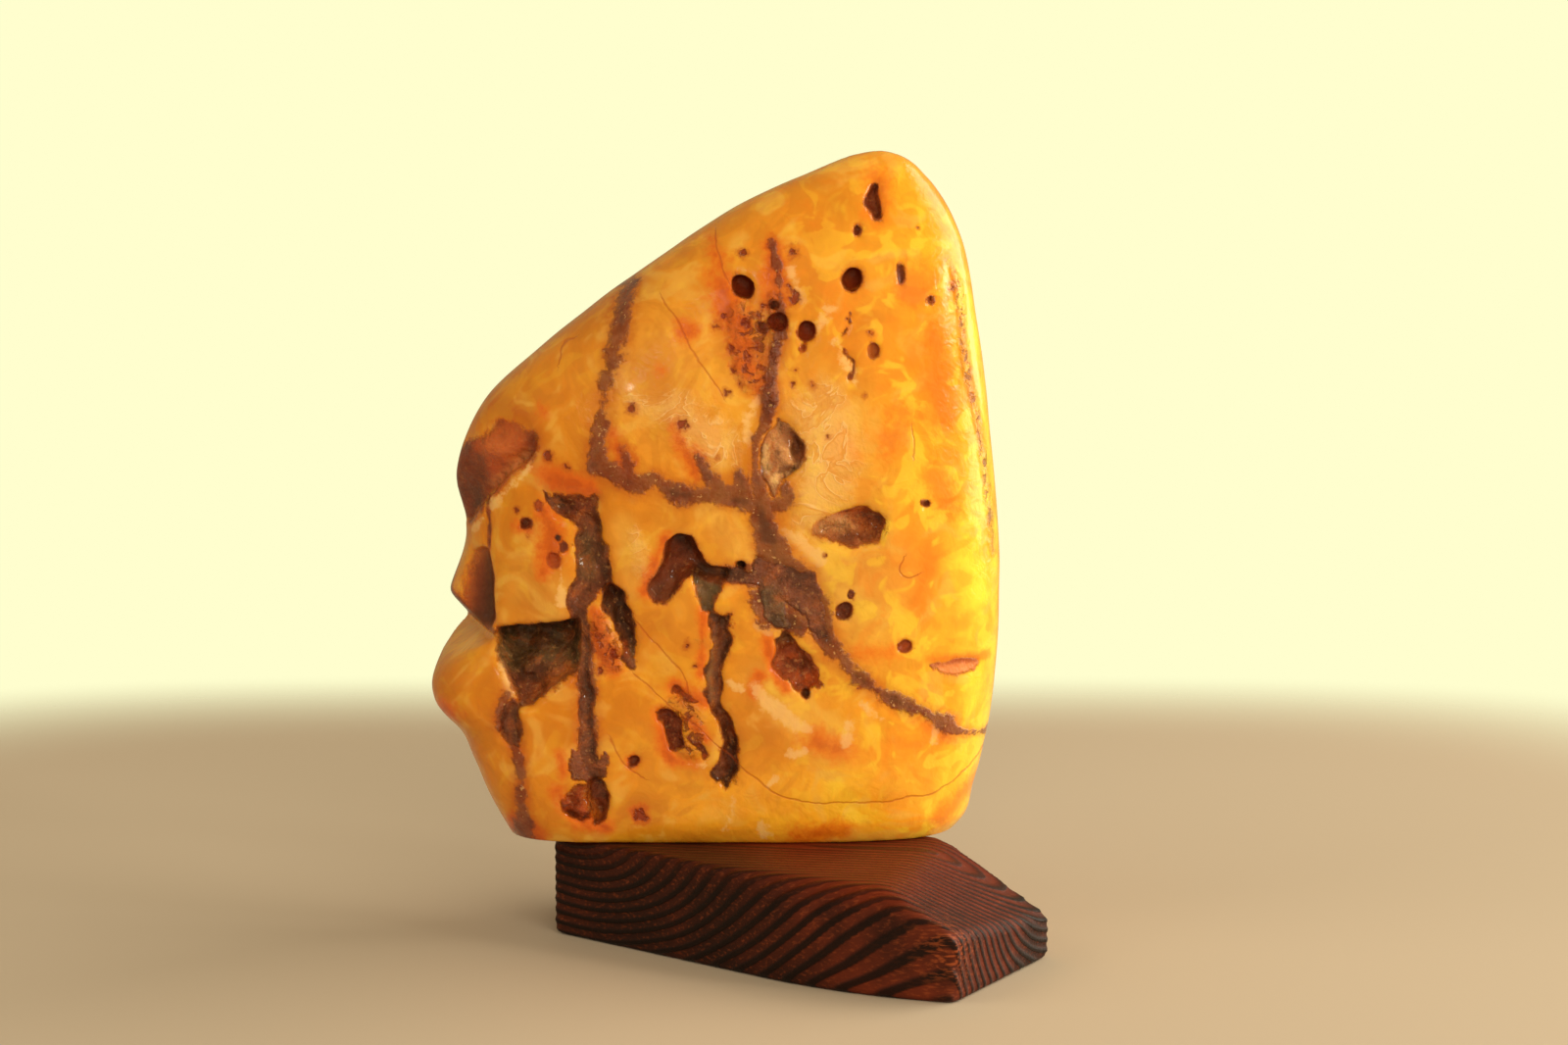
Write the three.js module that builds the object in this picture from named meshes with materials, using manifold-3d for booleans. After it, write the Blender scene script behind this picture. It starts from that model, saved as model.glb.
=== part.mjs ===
// Butterscotch amber nugget standing on a block of brushed softwood.
// Millimetres, +Z up. The front of the nugget faces -Y, and z = 0 is the table.
import * as THREE from "three";
import { mergeVertices } from "three/addons/utils/BufferGeometryUtils.js";
import Module from "manifold-3d";

const wasm = await Module();
wasm.setup();

// Driving dimensions of the stand
const STAND_HEIGHT = 17.5;
const STAND_EDGE = 2.2;
const STAND_OUTLINE = [
  [-40, 4],
  [-31, -3.5],
  [-22.5, -11],
  [-15, -20],
  [-3.5, -28.3],
  [17, -39],
  [27.6, -42],
  [44.8, -12],
  [28.8, 0.8],
  [5, 17.5],
  [-19, 33],
];
// The end of the stand slopes down to a lower edge, and its front leans back a little
const END_SLOPE = { point: [22, -18, STAND_HEIGHT], normal: [0.43, -0.13, 0.89] };
const FRONT_LEAN = { point: [6, -30.5, STAND_HEIGHT], normal: [-0.42, -0.78, 0.46] };

// Driving dimensions of the nugget: height, left edge, right edge, front and back of each section
const NUGGET_SECTIONS = [
  { z: 17.5, left: -47, right: 29.1, front: -3.4, back: 33 },
  { z: 20, left: -48.4, right: 31.2, front: -4.6, back: 34.6 },
  { z: 25, left: -50.8, right: 32.7, front: -5.2, back: 35.6 },
  { z: 31, left: -52.6, right: 34.3, front: -5.5, back: 36.4 },
  { z: 36, left: -54.2, right: 35.4, front: -5.6, back: 36.8 },
  { z: 41, left: -58.9, right: 36, front: -5.7, back: 37 },
  { z: 46, left: -59.8, right: 36.4, front: -5.7, back: 37 },
  { z: 57.5, left: -57.9, right: 36.9, front: -5.6, back: 36.7 },
  { z: 68, left: -54.7, right: 36.7, front: -5.2, back: 36.2 },
  { z: 79, left: -56.3, right: 35.9, front: -4.6, back: 35.3 },
  { z: 85, left: -54.7, right: 35.3, front: -4, back: 34.6 },
  { z: 92.4, left: -50.6, right: 34.6, front: -3, back: 33.6 },
  { z: 99.2, left: -43.2, right: 33.8, front: -1.8, back: 32.4 },
  { z: 106, left: -34.8, right: 32.8, front: -0.4, back: 31 },
  { z: 112.6, left: -25.5, right: 31.8, front: 1.4, back: 29.3 },
  { z: 119.3, left: -15.7, right: 30.1, front: 3.8, back: 27.2 },
  { z: 126, left: -4.4, right: 26.8, front: 7, back: 24.3 },
  { z: 129.3, left: 3.1, right: 24.3, front: 9, back: 22.3 },
  { z: 132.6, left: 11, right: 20.3, front: 12.4, back: 19 },
  { z: 133.7, left: 14.6, right: 17.6, front: 14.6, back: 16.6 },
];
// How square each quarter of a section is: 2 is an ellipse, and more is flatter with a crisper corner
const SQUARENESS = { frontLeft: 2.4, footLeft: 5, frontRight: 3.2, backLeft: 2.2, backRight: 2.6 };
// The foot's front left corner is crisp up to the first height, and like the rest from the second
const FOOT_CORNER = [34, 58];
const AROUND = 54;
const LEVELS = 37;
const LEVEL_CROWDING = 0.7;

// Broad swells and dents of the skin: centre, how far each spreads and how high it rises
const SWELLS = [
  { at: [-41, 0, 64], spread: 9, rise: 1.4 },
  { at: [-53, 5, 40], spread: 11, rise: 1.6 },
  { at: [-38, -1, 30], spread: 8, rise: 1 },
  { at: [2, -5, 62], spread: 14, rise: -1.3 },
  { at: [22, -4, 76], spread: 14, rise: 0.8 },
  { at: [-6, 0, 104], spread: 11, rise: -1.3 },
  { at: [-20, -5, 50], spread: 8, rise: -1 },
  { at: [-20, 37, 72], spread: 18, rise: 1.4 },
  { at: [10, 37, 50], spread: 14, rise: -2 },
  { at: [-38, 33, 42], spread: 12, rise: 1.2 },
  { at: [12, 33, 98], spread: 12, rise: -1.4 },
];

// Clefts run along a path over the front (side -1) or the back (side 1): x, z and half width
const CLEFTS = [
  {
    side: -1,
    depth: 1.8,
    path: [
      [-33.9, 54.8, 1.2],
      [-33.4, 44, 1.1],
      [-32.9, 35, 1.2],
      [-32.6, 28.6, 1],
    ],
  },
  {
    side: -1,
    depth: 2.4,
    path: [
      [-10.2, 56.4, 1.9],
      [-11, 50, 1.7],
      [-11.9, 45, 1.5],
      [-10.5, 38, 2.3],
      [-10.3, 31, 2],
      [-10.4, 27.6, 1.1],
    ],
  },
  {
    side: 1,
    depth: 4.6,
    path: [
      [-44, 76, 1.2],
      [-35, 71, 2.4],
      [-24, 73, 2],
      [-14, 67, 2.6],
      [-3, 69, 1.2],
    ],
  },
  { side: 1, depth: 3.6, path: [[-15, 67, 1.6], [-11, 56, 2.2], [-13, 44, 1.6], [-9, 33, 1]] },
];

// Hollows are outlines on the front, each point x and z, sunk to a depth
const HOLLOWS = [
  // The pocket under the front plate, beside the lower left lobe
  {
    depth: 8,
    outline: [
      [-48.4, 54],
      [-43, 53.8],
      [-34.4, 55.2],
      [-33.4, 50],
      [-33.8, 44],
      [-39.5, 42.6],
      [-44.5, 43.8],
      [-47.6, 48.6],
    ],
  },
  // The cleft that runs up from the pocket
  {
    depth: 2.8,
    outline: [
      [-40.1, 77.9],
      [-31.8, 77],
      [-30.8, 73.1],
      [-29.4, 68],
      [-29.6, 61.9],
      [-32, 59],
      [-32.4, 54.4],
      [-34.6, 54.4],
      [-36.4, 59.3],
      [-35.5, 67],
      [-34.7, 70.8],
      [-38.1, 74.2],
    ],
  },
  // Its branch down to the right
  {
    depth: 2.4,
    outline: [
      [-31, 61.6],
      [-27.3, 60.9],
      [-25, 58.3],
      [-24.5, 51],
      [-25.5, 48],
      [-27.6, 52],
      [-28.4, 55.3],
      [-30.1, 57.9],
    ],
  },
  // The arched pit in the middle of the front
  {
    depth: 4,
    outline: [
      [-23.1, 61],
      [-20, 66.6],
      [-18.3, 70.8],
      [-15.4, 70.3],
      [-12.5, 65.7],
      [-9, 64.2],
      [-10.7, 61.9],
      [-15.6, 63.7],
      [-18, 61.4],
      [-20.2, 59],
      [-21.7, 58.7],
    ],
  },
  // The hollow beside the front plate
  {
    depth: 3,
    outline: [
      [-50, 67.2],
      [-49.3, 63],
      [-48.8, 55.7],
      [-49.6, 53.4],
      [-54, 52.6],
      [-58, 55.5],
      [-57, 62],
      [-53, 66.6],
    ],
  },
];

// The hollow above the tooth on the upper left, where two flat floors meet inside an outline
const UPPER_HOLLOW = {
  outline: [
    [-50.4, 88.2],
    [-48.1, 90.1],
    [-44.1, 89.3],
    [-41.8, 87.4],
    [-41.6, 85.5],
    [-42.8, 82.5],
    [-48.6, 77.2],
    [-53.3, 70],
    [-58, 69],
    [-60, 77.8],
    [-58.5, 86],
  ],
  floors: [
    { point: [-48, 8.2, 76], normal: [-0.15, -1, -0.5] },
    { point: [-49.5, 8.4, 76], normal: [-0.85, -1, -0.42] },
  ],
};

// The notch between the tooth and the lower left lobe is a wedge whose tip runs along a slanting line
const NOTCH = { tip: [-53.6, 15, 52.3], slant: 0.27, upperWall: 46, lowerWall: 34, reach: 14, length: 40 };

// Round pits: centre x and z on the front or the back, and radii across, up and into the stone
const PITS = [
  { side: -1, at: [-7, 111.4], radii: [1.9, 1.9, 3.8] },
  { side: -1, at: [11.5, 112.7], radii: [1.8, 1.8, 3.6] },
  { side: -1, at: [3.8, 104.4], radii: [1.6, 1.9, 2.8] },
  { side: -1, at: [-1.4, 104.9], radii: [2.7, 1.5, 2] },
  { side: -1, at: [14.9, 100.8], radii: [1.1, 1.4, 1.8] },
  { side: -1, at: [15.3, 125.4], radii: [1.4, 2.8, 2.2] },
  { side: -1, at: [11.8, 72.1], radii: [6.2, 3.2, 2] },
  { side: -1, at: [2, 49], radii: [3.4, 5.6, 2.4] },
  { side: -1, at: [-0.8, 84.4], radii: [3.6, 6, 1.6] },
  { side: -1, at: [9.8, 57.8], radii: [1.2, 1.6, 2] },
  { side: -1, at: [20.4, 51.3], radii: [1.2, 1.2, 2] },
  { side: -1, at: [29, 46.9], radii: [4.2, 1.4, 1.5] },
  { side: -1, at: [-43.5, 71.7], radii: [1.3, 1.3, 1.6] },
  { side: -1, at: [-46.1, 38.6], radii: [2.1, 4.1, 1.7] },
  { side: -1, at: [-31.3, 26], radii: [2, 3.9, 3.4] },
  { side: -1, at: [-17, 37.4], radii: [3, 4.8, 1.1] },
  { side: 1, at: [14, 84], radii: [6.4, 9, 3.4] },
  { side: 1, at: [-32, 54], radii: [7, 4.4, 3.6] },
  { side: 1, at: [18, 46], radii: [3.2, 8.4, 2.8] },
  { side: 1, at: [4, 108], radii: [1.9, 2, 3.2] },
  { side: 1, at: [-12, 96], radii: [1.6, 2.1, 3] },
  { side: 1, at: [-26, 88], radii: [1.5, 1.5, 2.6] },
  { side: 1, at: [-30, 32], radii: [2.2, 2.4, 2.8] },
];

// Pits wider than this get more faces
const LARGE_PIT = 3.3;

// Scoops out of the sides: centre, radii, and lean about the line of sight from the front in degrees
const SCOOPS = [
  // A shallow break on the right edge, towards the back
  { at: [37, 26, 84], radii: [3.4, 5, 9], lean: 4 },
];

// How much narrower a cleft or a hollow is at its floor, on each side
const FLOOR_NARROWING = 0.6;

function solidOf(geometry) {
  const bare = geometry.clone();
  bare.deleteAttribute("normal");
  bare.deleteAttribute("uv");
  const merged = mergeVertices(bare, 1e-4);
  return new wasm.Manifold(
    new wasm.Mesh({
      numProp: 3,
      vertProperties: new Float32Array(merged.attributes.position.array),
      triVerts: new Uint32Array(merged.index.array),
    }),
  );
}

function geometryOf(solid) {
  const mesh = solid.getMesh();
  const geometry = new THREE.BufferGeometry();
  geometry.setAttribute("position", new THREE.BufferAttribute(mesh.vertProperties, 3));
  geometry.setIndex(new THREE.BufferAttribute(mesh.triVerts, 1));
  geometry.computeVertexNormals();
  return geometry;
}

// The half space outside a plane, as a box large enough to cut the part with
function beyondPlane(point, normal) {
  const reach = 300;
  const outward = new THREE.Vector3(...normal).normalize();
  const box = new THREE.BoxGeometry(reach, reach, reach);
  box.translate(0, 0, reach / 2);
  box.applyQuaternion(new THREE.Quaternion().setFromUnitVectors(new THREE.Vector3(0, 0, 1), outward));
  box.translate(...point);
  return solidOf(box);
}

function woodenStand() {
  const outline = new THREE.Shape(STAND_OUTLINE.map(([x, y]) => new THREE.Vector2(x, y)));
  // The rounded lower edge starts under the table, so that only half of it shows
  const sunk = STAND_EDGE / 2;
  const block = new THREE.ExtrudeGeometry(outline, {
    depth: STAND_HEIGHT + sunk - 2 * STAND_EDGE,
    bevelThickness: STAND_EDGE,
    bevelSize: STAND_EDGE,
    bevelOffset: -STAND_EDGE,
    bevelSegments: 3,
  });
  block.translate(0, 0, STAND_EDGE - sunk);
  const cutters = [
    beyondPlane([0, 0, 0], [0, 0, -1]),
    beyondPlane(END_SLOPE.point, END_SLOPE.normal),
    beyondPlane(FRONT_LEAN.point, FRONT_LEAN.normal),
  ];
  return geometryOf(cutters.reduce((solid, cutter) => solid.subtract(cutter), solidOf(block)));
}

const sectionHeights = NUGGET_SECTIONS.map((s) => s.z);
const sectionValues = NUGGET_SECTIONS.flatMap((s) => [s.left, s.right, s.front, s.back]);
const sectionCurve = new THREE.CubicInterpolant(sectionHeights, sectionValues, 4, new Float64Array(4));
const NUGGET_FOOT = sectionHeights[0];
const NUGGET_TOP = sectionHeights[sectionHeights.length - 1];

function sectionAt(z) {
  const [left, right, front, back] = sectionCurve.evaluate(z);
  return {
    middle: (left + right) / 2,
    halfWidth: (right - left) / 2,
    depth: (front + back) / 2,
    halfDepth: (back - front) / 2,
  };
}

function squarenessOf(across, along, z) {
  if (along >= 0) {
    return across < 0 ? SQUARENESS.backLeft : SQUARENESS.backRight;
  }
  if (across >= 0) {
    return SQUARENESS.frontRight;
  }
  const worn = THREE.MathUtils.smoothstep(z, ...FOOT_CORNER);
  return THREE.MathUtils.lerp(SQUARENESS.footLeft, SQUARENESS.frontLeft, worn);
}

// How far the swells lift the skin at a place
function swellAt(place) {
  return SWELLS.reduce((sum, { at, spread, rise }) => {
    const distance = place.distanceTo(new THREE.Vector3(...at)) / spread;
    return sum + rise * Math.exp(-distance * distance);
  }, 0);
}

// The point of the nugget's skin in a direction seen from above, at a height
function skinPoint(across, along, z) {
  const { middle, halfWidth, depth, halfDepth } = sectionAt(z);
  const squareness = squarenessOf(across, along, z);
  const reach = (Math.abs(across) ** squareness + Math.abs(along) ** squareness) ** (1 / squareness);
  const [u, v] = [across / reach, along / reach];
  const outward = new THREE.Vector3(
    (Math.sign(u) * Math.abs(u) ** (squareness - 1)) / halfWidth,
    (Math.sign(v) * Math.abs(v) ** (squareness - 1)) / halfDepth,
    0,
  ).normalize();
  const place = new THREE.Vector3(middle + halfWidth * u, depth + halfDepth * v, z);
  const isRim = z <= NUGGET_FOOT || z >= NUGGET_TOP;
  return place.addScaledVector(outward, isRim ? 0 : swellAt(place));
}

// How far back the nugget's front (side -1) or back (side 1) skin lies at a place on it
function skinDepth(x, z, side) {
  const { middle, halfWidth, depth, halfDepth } = sectionAt(z);
  const squareness = squarenessOf(x - middle, side, z);
  const across = Math.min(Math.abs(x - middle) / halfWidth, 0.98);
  return depth + side * halfDepth * (1 - across ** squareness) ** (1 / squareness);
}

// The uncut nugget: a cylinder whose rings take the shape of the sections
function nuggetBody() {
  const body = new THREE.CylinderGeometry(1, 1, 1, AROUND, LEVELS);
  const corners = body.attributes.position;
  for (let i = 0; i < corners.count; i += 1) {
    const share = corners.getY(i) + 0.5;
    const crowded = (1 - Math.cos(Math.PI * share)) / 2;
    const level = THREE.MathUtils.lerp(share, crowded, LEVEL_CROWDING);
    const z = THREE.MathUtils.lerp(NUGGET_FOOT, NUGGET_TOP, level);
    const [across, along] = [corners.getX(i), -corners.getZ(i)];
    const { middle, depth } = sectionAt(z);
    const onAxis = Math.hypot(across, along) < 0.5;
    const place = onAxis ? new THREE.Vector3(middle, depth, z) : skinPoint(across, along, z);
    corners.setXYZ(i, place.x, place.y, place.z);
  }
  return solidOf(body);
}

// A band of changing width along a path, as a closed outline
function bandOutline(path) {
  const curve = new THREE.CatmullRomCurve3(path.map((point) => new THREE.Vector3(...point)));
  const steps = path.length * 2;
  const sides = [[], []];
  for (let i = 0; i <= steps; i += 1) {
    const { x, y, z: halfWidth } = curve.getPoint(i / steps);
    const along = curve.getTangent(i / steps);
    const aside = new THREE.Vector2(-along.y, along.x).setLength(halfWidth);
    sides[0].push(new THREE.Vector2(x, y).add(aside));
    sides[1].unshift(new THREE.Vector2(x, y).sub(aside));
  }
  return [...sides[0], ...sides[1]];
}

// A cutter with the given outline in front view, sunk into the front or the back, narrower at its floor
function sunkCutter(outline, depth, side) {
  const centre = outline.reduce((sum, p) => sum.add(p), new THREE.Vector2()).divideScalar(outline.length);
  const reach = 30;
  const bevel = depth * 0.8;
  const cutter = new THREE.ExtrudeGeometry(new THREE.Shape(outline), {
    depth: reach,
    bevelThickness: bevel,
    bevelSize: FLOOR_NARROWING,
    bevelOffset: -FLOOR_NARROWING,
    bevelSegments: 2,
  });
  cutter.rotateX(Math.PI / 2);
  const floor = skinDepth(centre.x, centre.y, side) - side * depth;
  cutter.translate(0, side < 0 ? floor - bevel : floor + reach + bevel, 0);
  return solidOf(cutter);
}

// A ball stretched to the given radii across, up and along the line of sight
function stretchedBall([across, up, into], around) {
  const ball = new THREE.SphereGeometry(1, around, Math.round(around * 0.7));
  ball.scale(across, into, up);
  return ball;
}

// A pit whose widest part lies on the front or the back of the nugget
function pitCutter({ side, at: [x, z], radii }) {
  const widest = Math.max(...radii);
  const pit = stretchedBall(radii, widest > LARGE_PIT ? 12 : 8);
  pit.translate(x, skinDepth(x, z, side), z);
  return solidOf(pit);
}

function upperHollowCutter() {
  const reach = 60;
  const outline = new THREE.Shape(UPPER_HOLLOW.outline.map(([x, z]) => new THREE.Vector2(x, z)));
  const prism = new THREE.ExtrudeGeometry(outline, { depth: reach, bevelEnabled: false });
  prism.rotateX(Math.PI / 2);
  prism.translate(0, reach / 2, 0);
  const [first, second] = UPPER_HOLLOW.floors.map(({ point, normal }) => beyondPlane(point, normal));
  return solidOf(prism).intersect(first.add(second));
}

function notchCutter() {
  const { tip, slant, upperWall, lowerWall, reach, length } = NOTCH;
  const outline = new THREE.Shape([
    new THREE.Vector2(0, 0),
    new THREE.Vector2(-reach, reach * Math.tan(THREE.MathUtils.degToRad(upperWall))),
    new THREE.Vector2(-reach, -reach * Math.tan(THREE.MathUtils.degToRad(lowerWall))),
  ]);
  const wedge = new THREE.ExtrudeGeometry(outline, { depth: length, bevelEnabled: false });
  wedge.rotateX(Math.PI / 2);
  wedge.translate(0, length / 2, 0);
  wedge.applyMatrix4(new THREE.Matrix4().makeShear(0, 0, -slant, 0, 0, 0));
  wedge.translate(...tip);
  return solidOf(wedge);
}

function scoopCutter({ at, radii: [along, into, across], lean }) {
  const scoop = stretchedBall([along, across, into], 18);
  scoop.rotateY(THREE.MathUtils.degToRad(-lean));
  scoop.translate(...at);
  return solidOf(scoop);
}

function amberNugget() {
  const cutters = [
    ...CLEFTS.map(({ path, depth, side }) => sunkCutter(bandOutline(path), depth, side)),
    ...HOLLOWS.map(({ outline, depth }) =>
      sunkCutter(outline.map(([x, z]) => new THREE.Vector2(x, z)), depth, -1)),
    ...PITS.map(pitCutter),
    ...SCOOPS.map(scoopCutter),
    upperHollowCutter(),
    notchCutter(),
  ];
  return geometryOf(cutters.reduce((solid, cutter) => solid.subtract(cutter), nuggetBody()));
}

function namedMesh(name, geometry, look) {
  const mesh = new THREE.Mesh(geometry, new THREE.MeshStandardMaterial(look));
  mesh.name = name;
  return mesh;
}

const assembly = new THREE.Group();
assembly.add(
  namedMesh("wooden_stand", woodenStand(), { color: 0x4a1f14, roughness: 0.6, metalness: 0 }),
  namedMesh("amber_nugget", amberNugget(), { color: 0xe0982c, roughness: 0.25, metalness: 0 }),
);
// The origin is the middle of the whole thing's box, at the height of the table
const middle = new THREE.Box3().setFromObject(assembly, true).getCenter(new THREE.Vector3());
assembly.position.set(-middle.x, -middle.y, 0);

export default assembly;
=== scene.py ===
# Butterscotch amber nugget on a block of brushed softwood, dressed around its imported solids
import math
from dataclasses import dataclass

import bpy
import numpy as np
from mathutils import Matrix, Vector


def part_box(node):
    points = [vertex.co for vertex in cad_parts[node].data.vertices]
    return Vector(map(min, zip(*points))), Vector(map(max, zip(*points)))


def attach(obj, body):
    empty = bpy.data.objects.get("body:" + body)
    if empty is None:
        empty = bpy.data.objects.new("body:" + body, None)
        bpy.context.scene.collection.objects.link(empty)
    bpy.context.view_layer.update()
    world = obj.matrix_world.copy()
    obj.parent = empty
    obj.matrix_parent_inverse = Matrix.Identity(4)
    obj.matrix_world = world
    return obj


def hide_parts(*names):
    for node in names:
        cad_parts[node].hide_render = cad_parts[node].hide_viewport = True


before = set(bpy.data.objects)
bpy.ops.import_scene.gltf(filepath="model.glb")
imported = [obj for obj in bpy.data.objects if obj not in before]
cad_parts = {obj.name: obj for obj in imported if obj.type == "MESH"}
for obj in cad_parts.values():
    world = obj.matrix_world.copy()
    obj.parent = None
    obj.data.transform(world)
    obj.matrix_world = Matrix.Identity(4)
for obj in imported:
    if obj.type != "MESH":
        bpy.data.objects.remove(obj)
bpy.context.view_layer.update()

import openvdb
from mathutils import Vector

# All sizes below are millimetres in the carver's own frame: +X right, +Y away, +Z up, table at 0.
# The left end and the front corner of the stand lie at these places in that frame.
MM = 0.001
STAND_LEFT = -40.0
STAND_FRONT = -42.0
stand_low, stand_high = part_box("wooden_stand")
nugget_low, nugget_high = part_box("amber_nugget")
STAND_HEIGHT = stand_high.z / MM
NUGGET_TOP = nugget_high.z / MM
CARVER_ORIGIN = (stand_low.x / MM - STAND_LEFT, stand_low.y / MM - STAND_FRONT, 0.0)

FRONT = -1
BACK = 1

# The photograph's camera: focal length in pixels of a frame this wide, height, distance and dip
FRAME_WIDTH = 1600
FOCAL_PIXELS = 3900
SENSOR_WIDTH = 36.0
CAMERA_PLACE = (0.0, -636.8, 164.9)
CAMERA_DIP = math.radians(8.3)


def colour(red, green, blue):
    """An sRGB colour of 0 to 255 as the linear colour of a socket."""
    parts = [c / 255 for c in (red, green, blue)]
    linear = [c / 12.92 if c <= 0.04045 else ((c + 0.055) / 1.055) ** 2.4 for c in parts]
    return (*linear, 1.0)


# Tones of the amber's body
OCHRE = colour(220, 136, 24)
DEEP_OCHRE = colour(192, 108, 18)
BUTTER = colour(230, 150, 36)
PALE_BUTTER = colour(238, 184, 78)
GOLD = colour(255, 182, 36)
# Used for the painted glow of light through the right rim
LEMON = colour(255, 218, 60)
ORANGE = colour(240, 122, 20)
# Used for orange stains and for painted glow along the edges of cuts
STAIN_AND_GLOW = colour(220, 100, 16)
# Tones of its crust
RUST = colour(180, 72, 14)
RED_BROWN = colour(118, 44, 14)
BORE_RED = colour(134, 44, 14)
DARK_BROWN = colour(72, 34, 16)
GREY_BROWN = colour(122, 88, 52)
MAUVE_BROWN = colour(134, 72, 42)
OLIVE_BROWN = colour(94, 74, 40)
ORANGE_CRUST = colour(196, 100, 36)
TAN_CRUST = colour(232, 164, 98)
PINK_CRUST = colour(236, 140, 70)
BLACK_CRUST = colour(44, 20, 10)
# What the darkest mottling multiplies a tone by
SOOT = (0.3, 0.24, 0.2, 1.0)
CREAM = colour(244, 196, 122)


# Smooth shapes and noise on arrays

def smooth_max(a, b, radius):
    """The larger of two values, rounded where they are nearer to each other than the radius."""
    overlap = np.maximum(radius - np.abs(a - b), 0) / radius
    return np.maximum(a, b) + overlap * overlap * radius / 4


def smooth_min(a, b, radius):
    return -smooth_max(-a, -b, radius)


def smooth_step(low, high, value):
    """Rises smoothly from 0 at low to 1 at high, or falls where low is above high."""
    t = np.clip((value - low) / (high - low), 0, 1)
    return t * t * (3 - 2 * t)


def nearness(place, centre, reach):
    """1 at a centre, falling smoothly to nothing a few times its reach away."""
    gaps = [(p - c) / r for p, c, r in zip(place, centre, reach)]
    return np.exp(-sum(gap * gap for gap in gaps))


# Points along each side of the noise's lattice
LATTICE = 32
# Seeds of the noises
WAVE_SEED = 3
SHIFT_SEEDS = (21, 31)
CRUMB_SEED = 41
SCOOP_SEED = 51
RING_SEED = 61
TONE_SEED = 71


def lattice_noise(x, y, z, size, seed):
    """Smooth noise between -1 and 1 whose bumps are about size wide."""
    table = np.random.default_rng(seed).uniform(-1, 1, (LATTICE,) * 3).astype(np.float32)
    # The lattice is turned, so that its grid doesn't show along the axes
    turned = (0.8 * x + 0.6 * z, y + 0.3 * x, -0.6 * x + 0.8 * z)
    cells = [np.floor(c / size).astype(np.int32) for c in turned]
    shares = [c / size - cell for c, cell in zip(turned, cells)]
    shares = [(t * t * (3 - 2 * t)).astype(np.float32) for t in shares]
    total = 0
    for corner in np.ndindex(2, 2, 2):
        weight = 1
        for step, share in zip(corner, shares):
            weight = weight * (share if step else 1 - share)
        total = total + weight * table[tuple((cell + step) % LATTICE for cell, step in zip(cells, corner))]
    return total


def crumbled(x, y, z, size, seed, octaves=3):
    """Noise with finer and weaker noise added to it."""
    total = 0
    for octave in range(octaves):
        total = total + lattice_noise(x, y, z, size / 2 ** octave, seed + octave) / 2 ** octave
    return total


# Distances

def segment_distance(place, start, end):
    """Distance to a segment, in as many axes as the place has, and how far along it the nearest point is."""
    step = [e - s for _, s, e in zip(place, start, end)]
    away = [p - s for p, s in zip(place, start)]
    length = sum(s * s for s in step) or 1.0
    along = np.clip(sum(a * s for a, s in zip(away, step)) / length, 0, 1)
    gap = np.sqrt(sum((a - along * s) ** 2 for a, s in zip(away, step)))
    return gap, along


def path_distance(place, path):
    """Signed distance to a thick path, whose corners end in its half width there, negative inside it."""
    nearest = 1e3
    for start, end in zip(path, path[1:] or path):
        gap, along = segment_distance(place, start, end)
        nearest = np.minimum(nearest, gap - (start[-1] + (end[-1] - start[-1]) * along))
    return nearest


def rounded(path):
    """The path with its corners cut off twice."""
    for _ in range(2):
        corners = np.array(path, float)
        cut = [corners[:1]]
        for start, end in zip(corners, corners[1:]):
            cut.append([0.75 * start + 0.25 * end, 0.25 * start + 0.75 * end])
        path = np.concatenate([*cut, corners[-1:]])
    return [tuple(corner) for corner in path]


def line_offset(x, z, path, nearest):
    """Signed offset from a thin line, where it is nearer than the lines looked at before."""
    for start, end in zip(path, path[1:]):
        gap, _ = segment_distance((x, z), start, end)
        turn = np.sign((end[0] - start[0]) * (z - start[1]) - (end[1] - start[1]) * (x - start[0]))
        nearest = np.where(gap < np.abs(nearest), gap * turn, nearest)
    return nearest


def outline_distance(place, corners):
    """Signed distance to a closed outline in the front view, negative inside it."""
    x, z = place
    nearest = 1e3
    crossings = 0
    for start, end in zip(corners, corners[1:] + corners[:1]):
        gap, _ = segment_distance(place, start, end)
        nearest = np.minimum(nearest, gap)
        spans = (start[1] > z) != (end[1] > z)
        rise = end[1] - start[1] or 1e-9
        crossings = crossings + (spans & (x < (end[0] - start[0]) * (z - start[1]) / rise + start[0]))
    return np.where(crossings % 2 == 1, -nearest, nearest)


def notch_distance(x, y, z):
    """Signed distance to the notch between the two lobes of the left end, which opens to the left."""
    right = x - NOTCH_TIP[0] + NOTCH_SLANT * (y - NOTCH_TIP[1])
    up = z - NOTCH_TIP[2]
    upper = right * math.sin(NOTCH_UPPER) + up * math.cos(NOTCH_UPPER)
    lower = right * math.sin(NOTCH_LOWER) - up * math.cos(NOTCH_LOWER)
    return smooth_max(upper, lower, NOTCH_TIP_ROUNDING)


def ball_distance(x, y, z, centre, radii, lean):
    """Distance to a stretched ball that leans by an angle in the front view, negative inside it."""
    angle = math.radians(lean)
    dx, dy, dz = x - centre[0], y - centre[1], z - centre[2]
    along = dx * math.cos(angle) + dz * math.sin(angle)
    across = -dx * math.sin(angle) + dz * math.cos(angle)
    ratio = np.sqrt((along / radii[0]) ** 2 + (dy / radii[1]) ** 2 + (across / radii[2]) ** 2)
    return (ratio - 1) * min(radii)


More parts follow.
